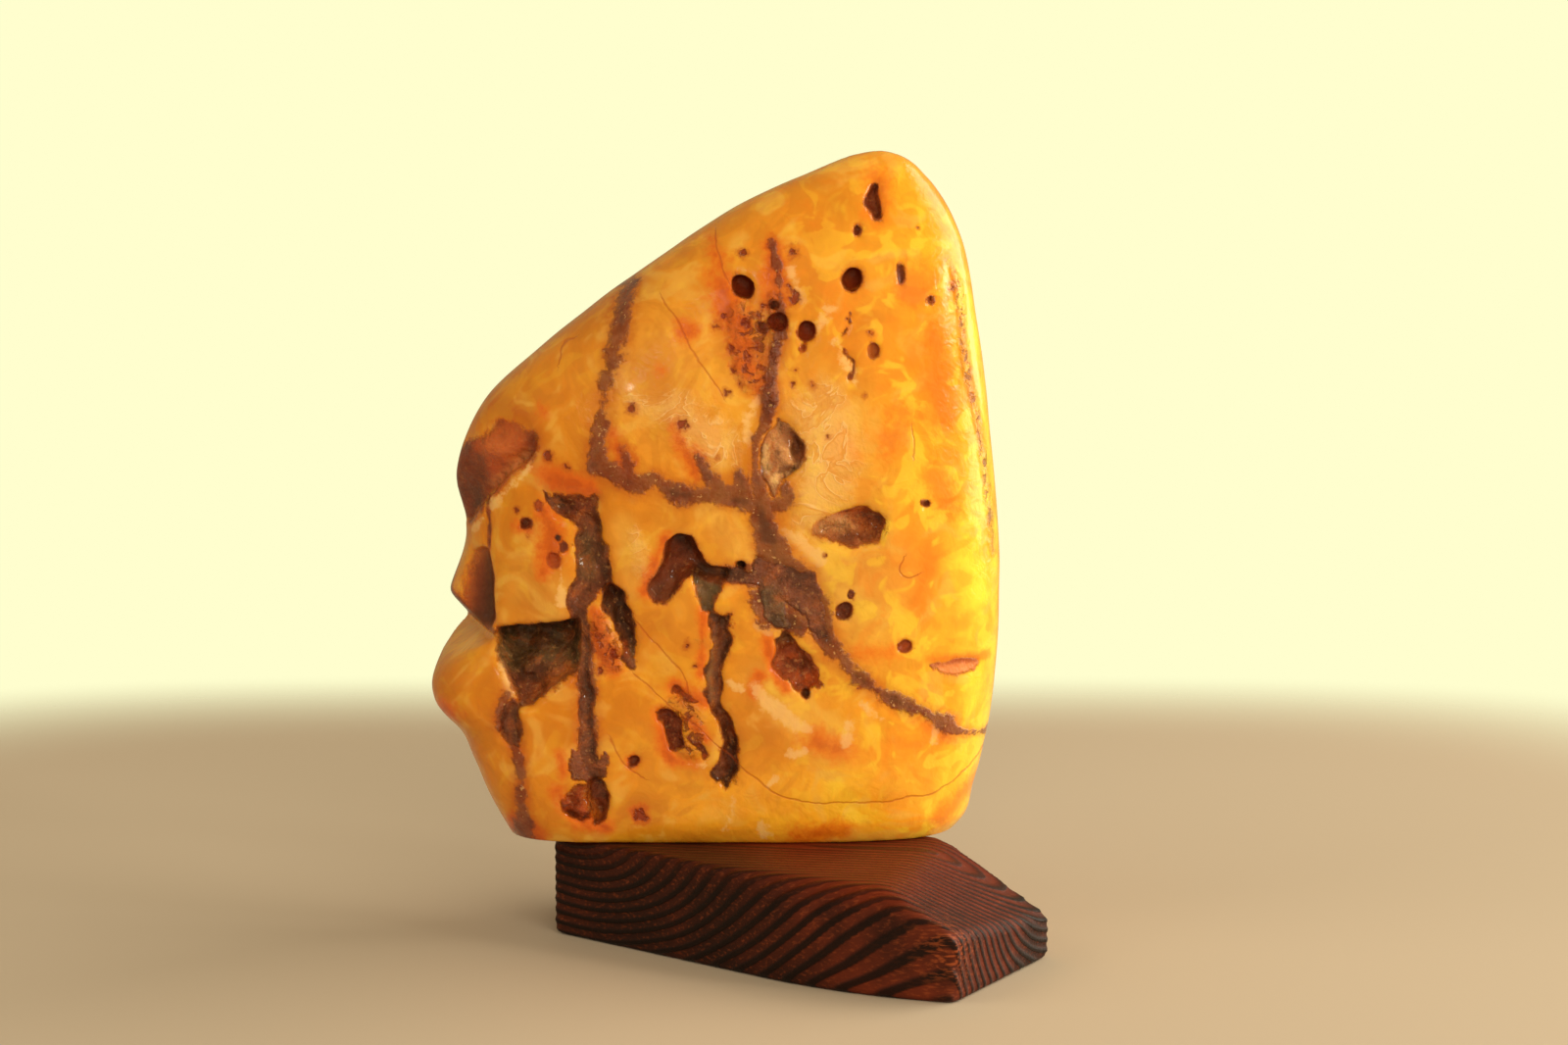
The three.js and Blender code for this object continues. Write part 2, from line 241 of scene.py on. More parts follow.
# The nugget: height, left edge, right edge, front and back of each section
NUGGET_SECTIONS = (
    (17.5, -47, 29.1, -3.4, 33),
    (20, -48.4, 31.2, -4.6, 34.6),
    (25, -50.8, 32.7, -5.2, 35.6),
    (31, -52.6, 34.3, -5.5, 36.4),
    (36, -54.2, 35.4, -5.6, 36.8),
    (41, -58.9, 36, -5.7, 37),
    (46, -59.8, 36.4, -5.7, 37),
    (57.5, -57.9, 36.9, -5.6, 36.7),
    (68, -54.7, 36.7, -5.2, 36.2),
    (79, -56.3, 35.9, -4.6, 35.3),
    (85, -54.7, 35.3, -4, 34.6),
    (92.4, -50.6, 34.6, -3, 33.6),
    (99.2, -43.2, 33.8, -1.8, 32.4),
    (106, -34.8, 32.8, -0.4, 31),
    (112.6, -25.5, 31.8, 1.4, 29.3),
    (119.3, -15.7, 30.1, 3.8, 27.2),
    (126, -4.4, 26.8, 7, 24.3),
    (129.3, 3.1, 24.3, 9, 22.3),
    (132.6, 11, 20.3, 12.4, 19),
    (133.7, 14.6, 17.6, 14.6, 16.6),
)
# How square each quarter of a section is: 2 is an ellipse, and more is flatter with a crisper corner
SQUARE_FRONT_LEFT = 2.4
SQUARE_FOOT_LEFT = 5.0
SQUARE_FRONT_RIGHT = 3.2
SQUARE_BACK_LEFT = 2.2
SQUARE_BACK_RIGHT = 2.6
# The front left corner of the foot is crisp up to the first height, and like the rest from the second
FOOT_CORNER = (34, 58)
FOOT_ROUNDING = 0.4
# The gap between the foot and the stand
STAND_GAP = 0.02

# Broad swells and dents of the skin: centre, spread and rise
SWELLS = (
    ((-41, 0, 64), 9, 1.4),
    ((-53, 5, 40), 11, 1.6),
    ((-38, -1, 30), 8, 1),
    ((2, -5, 62), 14, -1.3),
    ((22, -4, 76), 14, 0.8),
    ((-6, 0, 104), 11, -1.3),
    ((-20, -5, 50), 8, -1),
    ((-20, 37, 72), 18, 1.4),
    ((10, 37, 50), 14, -2),
    ((-38, 33, 42), 12, 1.2),
    ((12, 33, 98), 12, -1.4),
)


@dataclass
class Cut:
    """A hollow, cleft or hole, as it is seen from the front."""
    # Corners of x and z, or a path of x, z and half width
    shape: tuple
    depth: float
    tone: tuple
    # How much deeper it gets to the right and upwards, per millimetre
    tilt: tuple = (0.0, 0.0)
    # How far inside its edge it reaches its depth, and what share of that is a wall at the edge
    ramp: float = 1.6
    wall: float = 0.45
    crumbs: float = 0.4
    lip: float = 0.6
    wander: float = 1.0
    # How gradually its colour sets in across its edge, and at what depth it is at its full strength
    soft: float = 0.5
    full_at: float = 0.6
    # Flat floors below its own depth: x, z, how far back it lies there, and its slopes right and upwards
    floors: tuple = ()


def bore(x, z, radius, depth, tall=0.0, tone=BORE_RED, crumbs=0.25):
    """A round or upright oval hole."""
    path = ((x, z - tall / 2, radius), (x, z + tall / 2, radius))
    return Cut(path, depth, tone, ramp=radius, wall=0.6, crumbs=crumbs, lip=0.45,
               wander=0.6 + 0.3 / radius, soft=0.55, full_at=0.3)


UPPER_HOLLOW = Cut(
    ((-50.4, 88.2), (-48.1, 90.1), (-44.1, 89.3), (-41.8, 87.4), (-41.6, 85.5), (-42.8, 82.5),
     (-45.7, 80.2), (-48.6, 77.2), (-51.5, 73.8), (-53.3, 70), (-56.5, 71), (-58.5, 77.8), (-57, 84)),
    1.3, RUST, crumbs=0.3, lip=1, wander=1, soft=1.5, full_at=1.2,
    floors=((-48, 76, 8.2, -0.15, -0.5), (-49.5, 76, 8.4, -0.85, -0.42)))
SIDE_HOLLOW = Cut(
    ((-50.6, 67.2), (-49.6, 67.1), (-49.3, 63), (-48.8, 55.7), (-49.6, 53.4), (-54, 52.6), (-57.5, 55.5),
     (-56, 61.4), (-53, 66)),
    2.8, ORANGE_CRUST, tilt=(0.7, -0.12), ramp=1.4, wall=0.3, crumbs=0.1, lip=0.5, wander=0.6,
    soft=0.8, full_at=3.5)
POCKET = Cut(
    ((-48.5, 54.2), (-44.6, 54.8), (-39.5, 55.6), (-34.5, 55.9), (-34.2, 52.1), (-34.5, 47.6), (-37.5, 45.8),
     (-39.8, 44), (-42.4, 41.6), (-44.6, 40.7), (-45.4, 44.1), (-46.8, 47.5), (-48.3, 50.8)),
    6.0, OLIVE_BROWN, tilt=(-0.1, 0.46), ramp=3.6, wall=0.25, crumbs=1.1, lip=1.8, wander=0.8,
    soft=1.3, full_at=1.6)
CLEFT_TOP = Cut(
    ((-40.1, 77.9), (-37.5, 77), (-31.8, 77), (-30.8, 73.1), (-29.5, 68.2), (-29.4, 61.9), (-31.2, 61.2),
     (-32.4, 58.2), (-32.6, 53.2), (-34.9, 53.1), (-36.2, 56), (-36.4, 59.3), (-35.5, 67), (-34.7, 70.8),
     (-36.5, 72.6), (-38.1, 74.2), (-39.5, 76.4)),
    2.4, MAUVE_BROWN, tilt=(0.1, 0.05), ramp=3, wall=0.1, crumbs=0.9, lip=1.7, wander=1.7,
    soft=1.7, full_at=0.8)
MOUTH = Cut(
    ((-19.5, 69.6), (-18.3, 70.8), (-16.9, 71.1), (-15.4, 70.3), (-14.1, 68), (-12.5, 65.7), (-9, 64.4),
     (-9.2, 63.1), (-10.7, 61.9), (-13.4, 62.2), (-15.6, 63.7), (-16.7, 63.2), (-18, 61.4), (-20.2, 59),
     (-21.7, 58.7), (-23.1, 61), (-22, 63.8), (-20, 66.6)),
    3.8, RED_BROWN, tilt=(0, 0.3), ramp=2, wall=0.35, crumbs=0.5, wander=1.1, soft=0.8)
GROOVE = Cut(
    ((-11.8, 57.4), (-8.6, 57.2), (-8.6, 52.8), (-9.8, 50.1), (-10.6, 46.4), (-10.3, 42.6), (-9.1, 38.7),
     (-8.2, 35), (-8.1, 30.6), (-10.1, 27), (-12.2, 29.6), (-10.9, 35), (-11.2, 38.7), (-12.6, 41.9),
     (-13.5, 44.5), (-13.4, 47.7), (-12.8, 50.9)),
    2.0, DARK_BROWN, tilt=(0.3, 0), ramp=1.8, wall=0.15, crumbs=0.8, lip=1.2, wander=1.7, soft=1.1)
PIT_FIELD = Cut(
    ((-21.1, 41), (-19.6, 41.2), (-17.8, 40.2), (-17, 38.4), (-16.8, 34.7), (-18.1, 33.4), (-19.6, 34.6),
     (-19.8, 37.2), (-20.9, 39.4)),
    1.4, RED_BROWN, ramp=1.2, wall=0.2, crumbs=0.9, lip=0.9, wander=1.5, soft=1.2, full_at=1)
CAVITY = Cut(
    ((-2.5, 52.6), (-0.5, 54.3), (2, 52.6), (5.1, 50.1), (6.3, 47.6), (5.9, 45), (4.3, 43.7),
     (2.3, 43.7), (0.2, 46.4), (-1.3, 49.3)),
    2.4, RUST, ramp=2, wall=0.15, crumbs=1.2, lip=1, wander=1.7, soft=1.3, full_at=1)
CRATER = Cut(
    ((3.4, 72.2), (6.3, 74), (10.7, 75.1), (14, 75), (16.2, 73.9), (17.2, 72.2), (16.4, 70.4),
     (14, 68.9), (10.8, 68.2), (7.4, 68.8), (4.8, 70.4)),
    2.2, ORANGE_CRUST, tilt=(0.2, 0.16), ramp=3, wall=0.06, crumbs=0.7, lip=1.4, wander=1.3, soft=1.9,
    full_at=1.4)
DROP = Cut(
    ((-1.3, 90.8), (-3.1, 87.9), (-4.6, 85), (-4.9, 82.2), (-3.1, 79.5), (-1.1, 76.7), (0.5, 79.8),
     (1.3, 81.4), (2.9, 82.6), (3.4, 84), (2.6, 86.1), (1.1, 87.9), (-0.3, 89.4)),
    1.0, TAN_CRUST, ramp=1.8, wall=0.1, crumbs=1.1, lip=1, wander=2.4, soft=1.6, full_at=0.8)
CRESCENT = Cut(
    ((0.5, 88.1), (2.1, 87.2), (3.4, 85.2), (3.4, 83.4), (2, 82.4), (1.2, 83.5), (1.1, 85.7)),
    2.4, RED_BROWN, ramp=1.6, wall=0.3, crumbs=0.8, wander=1, soft=0.8)
SLIT = Cut(
    ((24.6, 48.4), (29, 48.5), (33.3, 48.3), (32.8, 46.3), (30.7, 45.2), (27.3, 46), (25.6, 47.1)),
    0.5, PINK_CRUST, tilt=(0, 0.3), ramp=1.1, wall=0.2, crumbs=0.2, lip=1, wander=0.8, soft=1.2, full_at=0.4)
BRANCH = Cut(
    ((-31.4, 61.8), (-29.2, 62.2), (-27.3, 60.9), (-25, 58.3), (-24.5, 54.7), (-24.5, 51), (-25.5, 48),
     (-26.8, 48.5), (-27.6, 52), (-28.4, 55.3), (-30.1, 57.9)),
    2.2, DARK_BROWN, tilt=(0.1, 0.15), ramp=2, wall=0.12, crumbs=1.1, lip=1.3, wander=1.8, soft=1.3)
BOTTOM_PIT = Cut(
    ((-33.2, 28.7), (-31.7, 29.6), (-30.2, 28.3), (-29.3, 25.2), (-30.2, 22.3), (-31.8, 21.3), (-32.6, 23.4),
     (-33.1, 25.5)),
    3.0, RED_BROWN, ramp=1.7, wall=0.3, crumbs=0.8, lip=0.8, wander=1.1, soft=0.8)
BOTTOM_RIDGES = Cut(
    ((-37.9, 25.2), (-35.7, 27.2), (-33, 27.8), (-32.2, 22.4), (-33.8, 21.2), (-35.8, 22), (-37.4, 23)),
    0.9, RUST, ramp=1, wall=0.2, crumbs=1.5, lip=0.8, wander=1.6, soft=1.3, full_at=1.4)
LEFT_LENS = Cut(
    ((-47.5, 41.9), (-45.7, 42.9), (-44.4, 41.3), (-43.8, 36.7), (-44.4, 34.5), (-46.3, 34.7),
     (-47.9, 36.8), (-48.4, 39.4)),
    1.6, MAUVE_BROWN, tilt=(0.3, 0), ramp=2, wall=0.1, crumbs=0.7, lip=1.1, wander=1.3, soft=1.6, full_at=1)

FRONT_CUTS = (
    UPPER_HOLLOW,
    SIDE_HOLLOW,
    POCKET,
    CLEFT_TOP,
    Cut(((-33.9, 54.8, 1.2), (-33.6, 48.2, 1.0), (-33.3, 40.3, 1.0), (-32.9, 35, 1.2), (-32.6, 29, 1.0)),
        1.6, MAUVE_BROWN, ramp=1.3, wall=0.15, crumbs=0.9, lip=0.9, wander=1.6, soft=1.2),
    BRANCH,
    Cut(((-36.9, 30.6), (-34.8, 34.1), (-33.3, 34.6), (-32.8, 28.2), (-35, 28)),
        0.6, MAUVE_BROWN, ramp=1.2, wall=0.1, crumbs=0.7, wander=1.8, soft=1.4, full_at=0.3),
    Cut(((-32.4, 32.4), (-30.1, 33.8), (-29.2, 31.9), (-30.1, 29.6), (-32.3, 28.2)),
        0.6, MAUVE_BROWN, ramp=1.0, wall=0.1, crumbs=0.7, wander=1.8, soft=1.4, full_at=0.3),
    BOTTOM_PIT,
    BOTTOM_RIDGES,
    LEFT_LENS,
    Cut(((-45.6, 40.8, 0.4), (-45.1, 38.8, 0.6), (-45.5, 36.6, 0.4)), 1.6, DARK_BROWN, ramp=0.8, wall=0.2,
        crumbs=0.6, wander=1, soft=0.8),
    MOUTH,
    Cut(((-15.8, 64.6), (-9.2, 64.8), (-10.9, 60.4), (-11.6, 57), (-13.4, 57.4), (-15.2, 61)),
        1.6, OLIVE_BROWN, ramp=1.2, wall=0.2, crumbs=0.4, lip=0.9, wander=0.8, soft=0.8),
    GROOVE,
    PIT_FIELD,
    CAVITY,
    CRATER,
    DROP,
    CRESCENT,
    SLIT,
    # The vein's knot, where brown crust lies a little below the skin
    Cut(((-3.6, 66, 1.2), (-1, 63, 3), (2.4, 60.8, 3.2), (5.4, 57.4, 1.9), (6.9, 53.6, 1)),
        0.7, MAUVE_BROWN, ramp=2.6, wall=0.05, crumbs=0.8, lip=1.6, wander=1.9, soft=1.8, full_at=0.4),
    Cut(((-3, 61.4, 1), (-1.6, 58, 1.8), (-0.6, 55.4, 1.2)), 0.7, GREY_BROWN, ramp=1.6, wall=0.1,
        crumbs=0.8, lip=1.4, wander=1.9, soft=1.8, full_at=0.4),
    Cut(((-9.2, 63.4, 0.9), (-5, 63, 1.2), (-1, 62.4, 1.6)), 0.8, MAUVE_BROWN, ramp=1.2, wall=0.1,
        crumbs=0.9, wander=1.6, soft=1, full_at=0.8),
    Cut(((-50, 76.2, 0.25), (-49.8, 67.2, 0.25)), 0.7, RED_BROWN, ramp=0.2, crumbs=0, wander=0.3),
    bore(-6.9, 111.4, 1.9, 4.2),
    bore(11.5, 112.7, 1.75, 4),
    bore(3.8, 104.4, 1.55, 2.6, 0.6),
    bore(3.3, 101.5, 0.6, 1.0, tone=RUST),
    bore(-0.9, 105.7, 1.5, 2.2, 0.5, crumbs=0.4),
    bore(-3.2, 104.8, 0.9, 1.1, 0.3, RED_BROWN, crumbs=0.5),
    bore(-1.8, 108.6, 0.7, 0.9, 0.2, RED_BROWN, crumbs=0.5),
    bore(14.9, 100.8, 1.0, 1.5, 0.8, ORANGE_CRUST, crumbs=0.4),
    Cut(((15.3, 127.6, 0.7), (15.1, 125.6, 1.3), (15.9, 123, 0.8)), 2.4, RED_BROWN, tilt=(0.2, -0.1),
        ramp=1.1, wall=0.3, crumbs=0.5, lip=0.8, wander=0.8, soft=0.7, full_at=1),
    bore(-6.9, 65.4, 0.9, 2.6, 0, BLACK_CRUST),
    bore(3.6, 43.4, 0.8, 2.4, 0, DARK_BROWN),
    bore(-43.5, 71.6, 1.1, 1.2, 0.2, RED_BROWN, crumbs=0.5),
    bore(-37.3, 68.2, 0.7, 1, 0.6, RED_BROWN),
    bore(-38.9, 66, 1.0, 1.2, 0.6, RUST),
    bore(-38.5, 69.6, 0.5, 0.9, 0, DARK_BROWN),
    bore(-41, 75, 0.5, 0.8, 1.4, RUST),
    bore(-25.3, 32.3, 0.9, 1.2, 0.3, RED_BROWN),
    bore(20.3, 51.2, 1.1, 1.2, 0.2, RUST, crumbs=0.4),
    bore(9.8, 57.6, 1.2, 1.4, 0.6, RED_BROWN, crumbs=0.6),
    bore(11, 60.3, 0.6, 0.8, 0.4, RED_BROWN, crumbs=0.5),
    bore(12.2, 121.2, 0.8, 1.2, 0, RED_BROWN),
    bore(24.6, 109.2, 0.8, 1.2, 0, RUST, crumbs=0.6),
    bore(19.6, 113.6, 0.5, 0.9, 1.8, RED_BROWN, crumbs=0.4),
    bore(23.7, 75.8, 0.7, 1, 0, RED_BROWN),
    Cut(((10.8, 107.4, 0.2), (10.4, 105.8, 0.4), (9.8, 104.2, 0.3)), 0.6, RED_BROWN, ramp=0.8, wall=0.2,
        crumbs=0.6, wander=1.8, soft=1),
    Cut(((10.2, 101.2, 0.3), (10.9, 99, 0.3), (10.8, 97, 0.5)), 0.6, RUST, ramp=0.8, wall=0.2, crumbs=0.6,
        wander=1.8, soft=1.2),
    bore(-19.4, 39.6, 0.9, 1.9, 0.6, BORE_RED, crumbs=0.5),
    bore(-18.2, 35.4, 0.7, 1.5, 1.6, BORE_RED, crumbs=0.5),
    Cut(((-18.6, 44.6, 0.5), (-16, 43.4, 0.7), (-14.4, 42.9, 0.4)), 0.7, RUST, ramp=0.9, wall=0.2,
        crumbs=0.9, wander=1.8, soft=1.2),
    Cut(((-15.6, 36.2, 0.5), (-13.4, 33.4, 0.7)), 0.7, RUST, ramp=0.9, wall=0.2, crumbs=0.9, wander=1.8,
        soft=1.2),
)
# The photograph doesn't show the back, so its cuts are plausible ones
BACK_CUTS = (
    Cut(((-45, 77, 1), (-38, 72, 2.2), (-29, 71, 3), (-20, 73, 2.2), (-12, 67, 2.8), (-3, 69, 1.2)),
        4.6, RED_BROWN, ramp=2.2, crumbs=0.9),
    Cut(((-15, 67, 1.6), (-11, 56, 2.4), (-13, 44, 1.7), (-9, 33, 0.9)),
        3.6, MAUVE_BROWN, ramp=1.8, crumbs=0.7),
    Cut(((9, 92), (12, 94), (18, 92), (20.6, 86), (19, 78), (14, 75), (9.4, 78), (8, 85)),
        3.4, ORANGE_CRUST, tilt=(-0.15, 0.1), ramp=3, crumbs=1.1),
    Cut(((-38, 56), (-34, 58.4), (-27, 57.4), (-25.6, 53), (-29, 50), (-36, 50.4), (-39, 53)),
        3.6, GREY_BROWN, tilt=(0, 0.3), ramp=2, crumbs=0.9),
    Cut(((16, 54), (19, 54.4), (20.8, 48), (20.4, 40), (17.6, 38), (15.2, 42), (14.8, 49)),
        2.8, ORANGE_CRUST, ramp=1.6, crumbs=1),
    Cut(((-1, 31, 0.6), (-3, 27, 1.2), (-2.4, 22.6, 0.6)), 1.6, RUST, ramp=1, crumbs=0.6),
    bore(4, 108, 1.8, 3.6, 0.3),
    bore(-12, 96, 1.5, 3, 1.2),
    bore(-26, 88, 1.4, 2.6, 0),
    bore(-30, 32, 2, 2.8, 0.8, DARK_BROWN, 0.5),
    bore(26, 68, 1.1, 2, 0.8),
    bore(-5, 87, 0.8, 1.4, 0),
    bore(14, 112, 0.9, 1.6, 1.4),
    bore(-40, 44, 0.9, 1.2, 0, RUST),
    bore(-20, 46, 0.9, 1.4, 0.8, RUST),
)
CUTS = {FRONT: FRONT_CUTS, BACK: BACK_CUTS}

# The notch in the left end: a place on its tip, how the tip slants back, and how its walls lean
NOTCH_TIP = (-52.6, 15, 52.4)
NOTCH_SLANT = 0.27
NOTCH_UPPER = math.radians(46)
NOTCH_LOWER = math.radians(30)
# How much its tip, its upper and its lower edge are rounded, and the height in which one turns into the other
NOTCH_TIP_ROUNDING = 0.8
NOTCH_UPPER_ROUNDING = 1
NOTCH_LOWER_ROUNDING = 3.6
NOTCH_TURN = 4

# How rough the scoops' faces are, how wide their bumps are, and how much their edges are rounded
SCOOP_RAGGED = 0.4
SCOOP_BUMPS = 3.0
SCOOP_ROUNDING = 0.7
# Scoops out of the sides: tone, centre, radii and lean
SCOOPS = (
    (RUST, (37.6, 26, 84), (3.4, 5, 9), 4),
    (RUST, (37.8, 8, 100), (3.6, 1.6, 2.4), 0),
    (RUST, (38.4, 6, 88), (3.4, 1.4, 3), 0),
    (RED_BROWN, (39.2, 12, 60), (3, 1.5, 1.7), 0),
    (RED_BROWN, (39.4, 24, 46), (3.2, 2.6, 1.6), 0),
    (RUST, (35.4, 16, 112), (3, 2.4, 1.4), 0),
    (RED_BROWN, (-58, 22, 68), (3.6, 3.4, 2.2), 0),
    (RUST, (-58.6, 26, 30), (6, 2.4, 3.4), 20),
    (RED_BROWN, (-37, 16, 107.6), (1.6, 1.6, 1.8), 0),
    (RUST, (-19.4, 14, 119.6), (2, 3, 1.4), 0),
)

# Paint strokes, each a softness and a path of x, z and half width. Those of the back are made up.
# Orange stains, some of them painted glow of light through the thin left walls of cuts
ORANGES = (
    (3.6, ((-10.6, 112.5, 1.6), (-8.4, 106, 1.6), (-6.8, 98.6, 1), (-4.4, 95, 0.6))),
    (2, ((-2, 118, 1), (-1.5, 110, 2))),
    (3, ((-16.4, 104, 0.8),)),
    (2, ((-20.6, 97.8, 0.4),)),
    (3, ((22, 112, 3),)),
    (3, ((24.6, 106, 0.8), (26, 98, 1.4), (25.5, 90, 2))),
    (3, ((19.4, 90, 1), (17.8, 85, 1))),
    (2.6, ((25, 80, 1.6), (29, 74, 0.6))),
    (2.5, ((17.2, 86.8, 0.5), (17, 84, 0.6))),
    (2.5, ((16, 129, 1.4), (15.4, 124, 1.6))),
    (2.5, ((12, 50.6, 0.1), (16, 50.4, 0.3), (20, 51.5, 0.6))),
    (1.2, ((24.6, 49, 0.2), (29, 49.2, 0.4), (34, 48.8, 0.5))),
    (2.6, ((22, 38.4, 0.3), (27, 36.4, 0.8))),
    (1.4, ((-19.8, 70, 0.5), (-22, 65, 0.8), (-23.4, 61, 0.9))),
    (1.2, ((-13.4, 58, 0.6), (-13.8, 53, 0.6), (-14, 47, 0.3))),
    (1.2, ((-2.9, 52.8, 0.8), (-1.6, 48, 0.9), (0.2, 44.6, 0.8))),
    (1.6, ((-20.8, 40, 0.8), (-20.2, 36, 0.9), (-19, 32, 0.6), (-15, 31.6, 0.4))),
    (1.6, ((-19, 45, 0.8), (-15, 43, 1.1), (-12.6, 42.4, 0.6))),
    (1.4, ((-16, 39.6, 0.5), (-13, 36, 0.6))),
    (1.5, ((-31.4, 57, 0.8), (-30.6, 51.5, 1.6), (-28.6, 47.4, 1))),
    (2, ((-15, 85.4, 0.5), (-14.2, 82.6, 0.6))),
    (1.8, ((-41.6, 17.6, 0.6), (-45, 18, 1))),
    (1.8, ((-38, 27, 0.8), (-36.4, 22.5, 1.2), (-30, 20.5, 0.8))),
    (1.4, ((-37.8, 33.2, 0.6), (-37.2, 30, 0.5))),
    (2.2, ((-40.4, 75.2, 0.8), (-38.4, 68, 2.2), (-40, 64.4, 0.8))),
    (1.6, ((-44.6, 71.4, 0.7), (-43, 71, 0.8))),
    (1.8, ((-40.7, 90.8, 0.5),)),
    (1.8, ((-41.4, 81, 0.6), (-39.6, 79.6, 1.4), (-36.4, 79.2, 1.2), (-32.4, 78.4, 1.1))),
    (2, ((-28.6, 87, 0.8), (-26.6, 83, 0.9), (-26, 80, 1))),
    (2, ((-18.7, 88.6, 0.5), (-16.8, 84.6, 0.9), (-14.6, 81.4, 1))),
    (3, ((-58, 39.6, 1.6),)),
    (2, ((-45.4, 20, 1.6), (-41.6, 18.6, 1))),
    (2, ((-12.2, 119, 0.3), (-11, 115, 0.5), (-9.6, 112.6, 0.6))),
    (1.6, ((-24.6, 22.8, 0.9),)),
    (1.6, ((-25.8, 32, 0.9),)),
    (2, ((-4, 46.8, 0.4), (-5, 44, 0.3))),
    (3, ((9, 34, 1.6), (5, 35.6, 1))),
    (2, ((33.6, 27, 1), (29.4, 23.6, 1.1), (26.8, 20.8, 0.8))),
    (2.5, ((10, 19.6, 0.8), (2, 19, 0.8))),
)
BACK_ORANGES = (
    (4, ((8, 94, 2), (14, 92, 5), (21, 84, 3), (19, 76, 2))),
    (4, ((-44, 79, 1), (-34, 74, 3), (-20, 76, 3), (-10, 70, 3))),
    (3, ((14, 54, 1.4), (13.6, 44, 1.6), (17, 36, 1.4))),
    (3, ((-40, 56, 1.6), (-32, 60, 2), (-24, 56, 1.4))),
    (3, ((4, 111, 2), (6, 105, 2.4))),
    (3, ((-13, 99, 1.4), (-12, 93, 1.6))),
    (2.5, ((-13, 50, 1.6), (-14, 40, 1.4))),
    (3, ((24, 30, 2), (30, 36, 1.4))),
    (4, ((26, 100, 1.6), (28, 88, 2.4))),
)

# The pale wrinkled zones
CREAMS = (
    (5, ((6, 92, 3.4), (8, 84, 4.4), (6, 78, 3), (4.5, 73.5, 1.6))),
    (5, ((-18, 91, 2.4), (-11, 85, 3))),
    (2.5, ((-28.6, 98, 0.4), (-24, 92, 0.8))),
    (3, ((-25, 70, 0.6), (-23, 64, 0.8))),
)
BACK_CREAMS = (
    (5, ((-6, 82, 3), (-2, 76, 3))),
    (4, ((2, 62, 2.4), (10, 66, 2))),
    (3, ((-22, 100, 2), (-18, 104, 1.2))),
)

# Ragged cream flakes, and painted highlights on lit ridges and lips
FLAKES_AND_HIGHLIGHTS = (
    (1.2, ((0.8, 114.4, 0.2), (2.4, 111, 0.5), (3.2, 109, 0.2))),
    (1.4, ((-4.4, 93, 0.5), (-6.4, 89.6, 0.9), (-6, 86, 0.4))),
    (1.4, ((8.8, 102.4, 0.3), (9.6, 99.4, 0.6), (11.8, 97.4, 0.4), (12, 95.4, 0.2))),
    (1.4, ((5.6, 104.6, 0.3), (7.4, 107.6, 0.6))),
    (1.6, ((-4, 72.8, 0.4), (2, 70.2, 0.6), (6, 66.4, 0.6))),
    (1.2, ((-4.6, 45, 0.3), (-3, 42, 0.9), (-1.4, 42, 1), (0.6, 39.4, 0.9), (4, 37.6, 0.3))),
    (0.9, ((-9, 45.6, 0.3), (-7.4, 44.6, 0.4))),
    (1, ((1.2, 33.4, 0.3), (3.6, 33.8, 0.3))),
    (1.1, ((-2.6, 28, 0.5), (-1.4, 29, 0.5))),
    (1.1, ((-8.6, 25.5, 0.3), (-8.8, 23, 0.6), (-9.8, 20.6, 0.5))),
    (1.1, ((-4, 21.8, 0.4), (-3.2, 19.6, 0.4))),
    (1.1, ((10.9, 38.5, 0.5), (10.3, 35.3, 0.5))),
    (0.8, ((25.7, 37.8, 0.5), (25.3, 34.6, 0.2))),
    (0.8, ((-16.4, 31.6, 0.2), (-13.4, 31.4, 0.2))),
    (1.1, ((-20.6, 63.8, 0.3), (-20, 60.8, 0.3))),
    (1.2, ((13.2, 41.8, 0.3), (17, 38.8, 0.3))),
    # Painted highlight along the ridge below the upper hollow
    (0.9, ((-53, 69.6, 0.2), (-48.8, 75.4, 0.4), (-43.4, 80.4, 0.5), (-41.6, 83.6, 0.2))),
    (1.2, ((-4.6, 55.4, 0.3), (-2.8, 54.2, 0.5))),
    (1, ((8.6, 52.6, 0.2), (10.6, 48.8, 0.3))),
    # Painted highlight on the lit lip of the pocket
    (1.2, ((-48, 50.4, 0.2), (-46.9, 48, 0.5), (-46.1, 45.4, 0.7), (-46.4, 43, 0.3))),
    (1.2, ((-37.4, 65, 0.1), (-37.4, 59, 0.3))),
)
BACK_FLAKES = (
    (1, ((-4, 34, 0.8), (-1, 31, 1.2), (3, 31.6, 0.6))),
    (1, ((-24, 28, 0.8), (-22, 24, 0.9))),
)

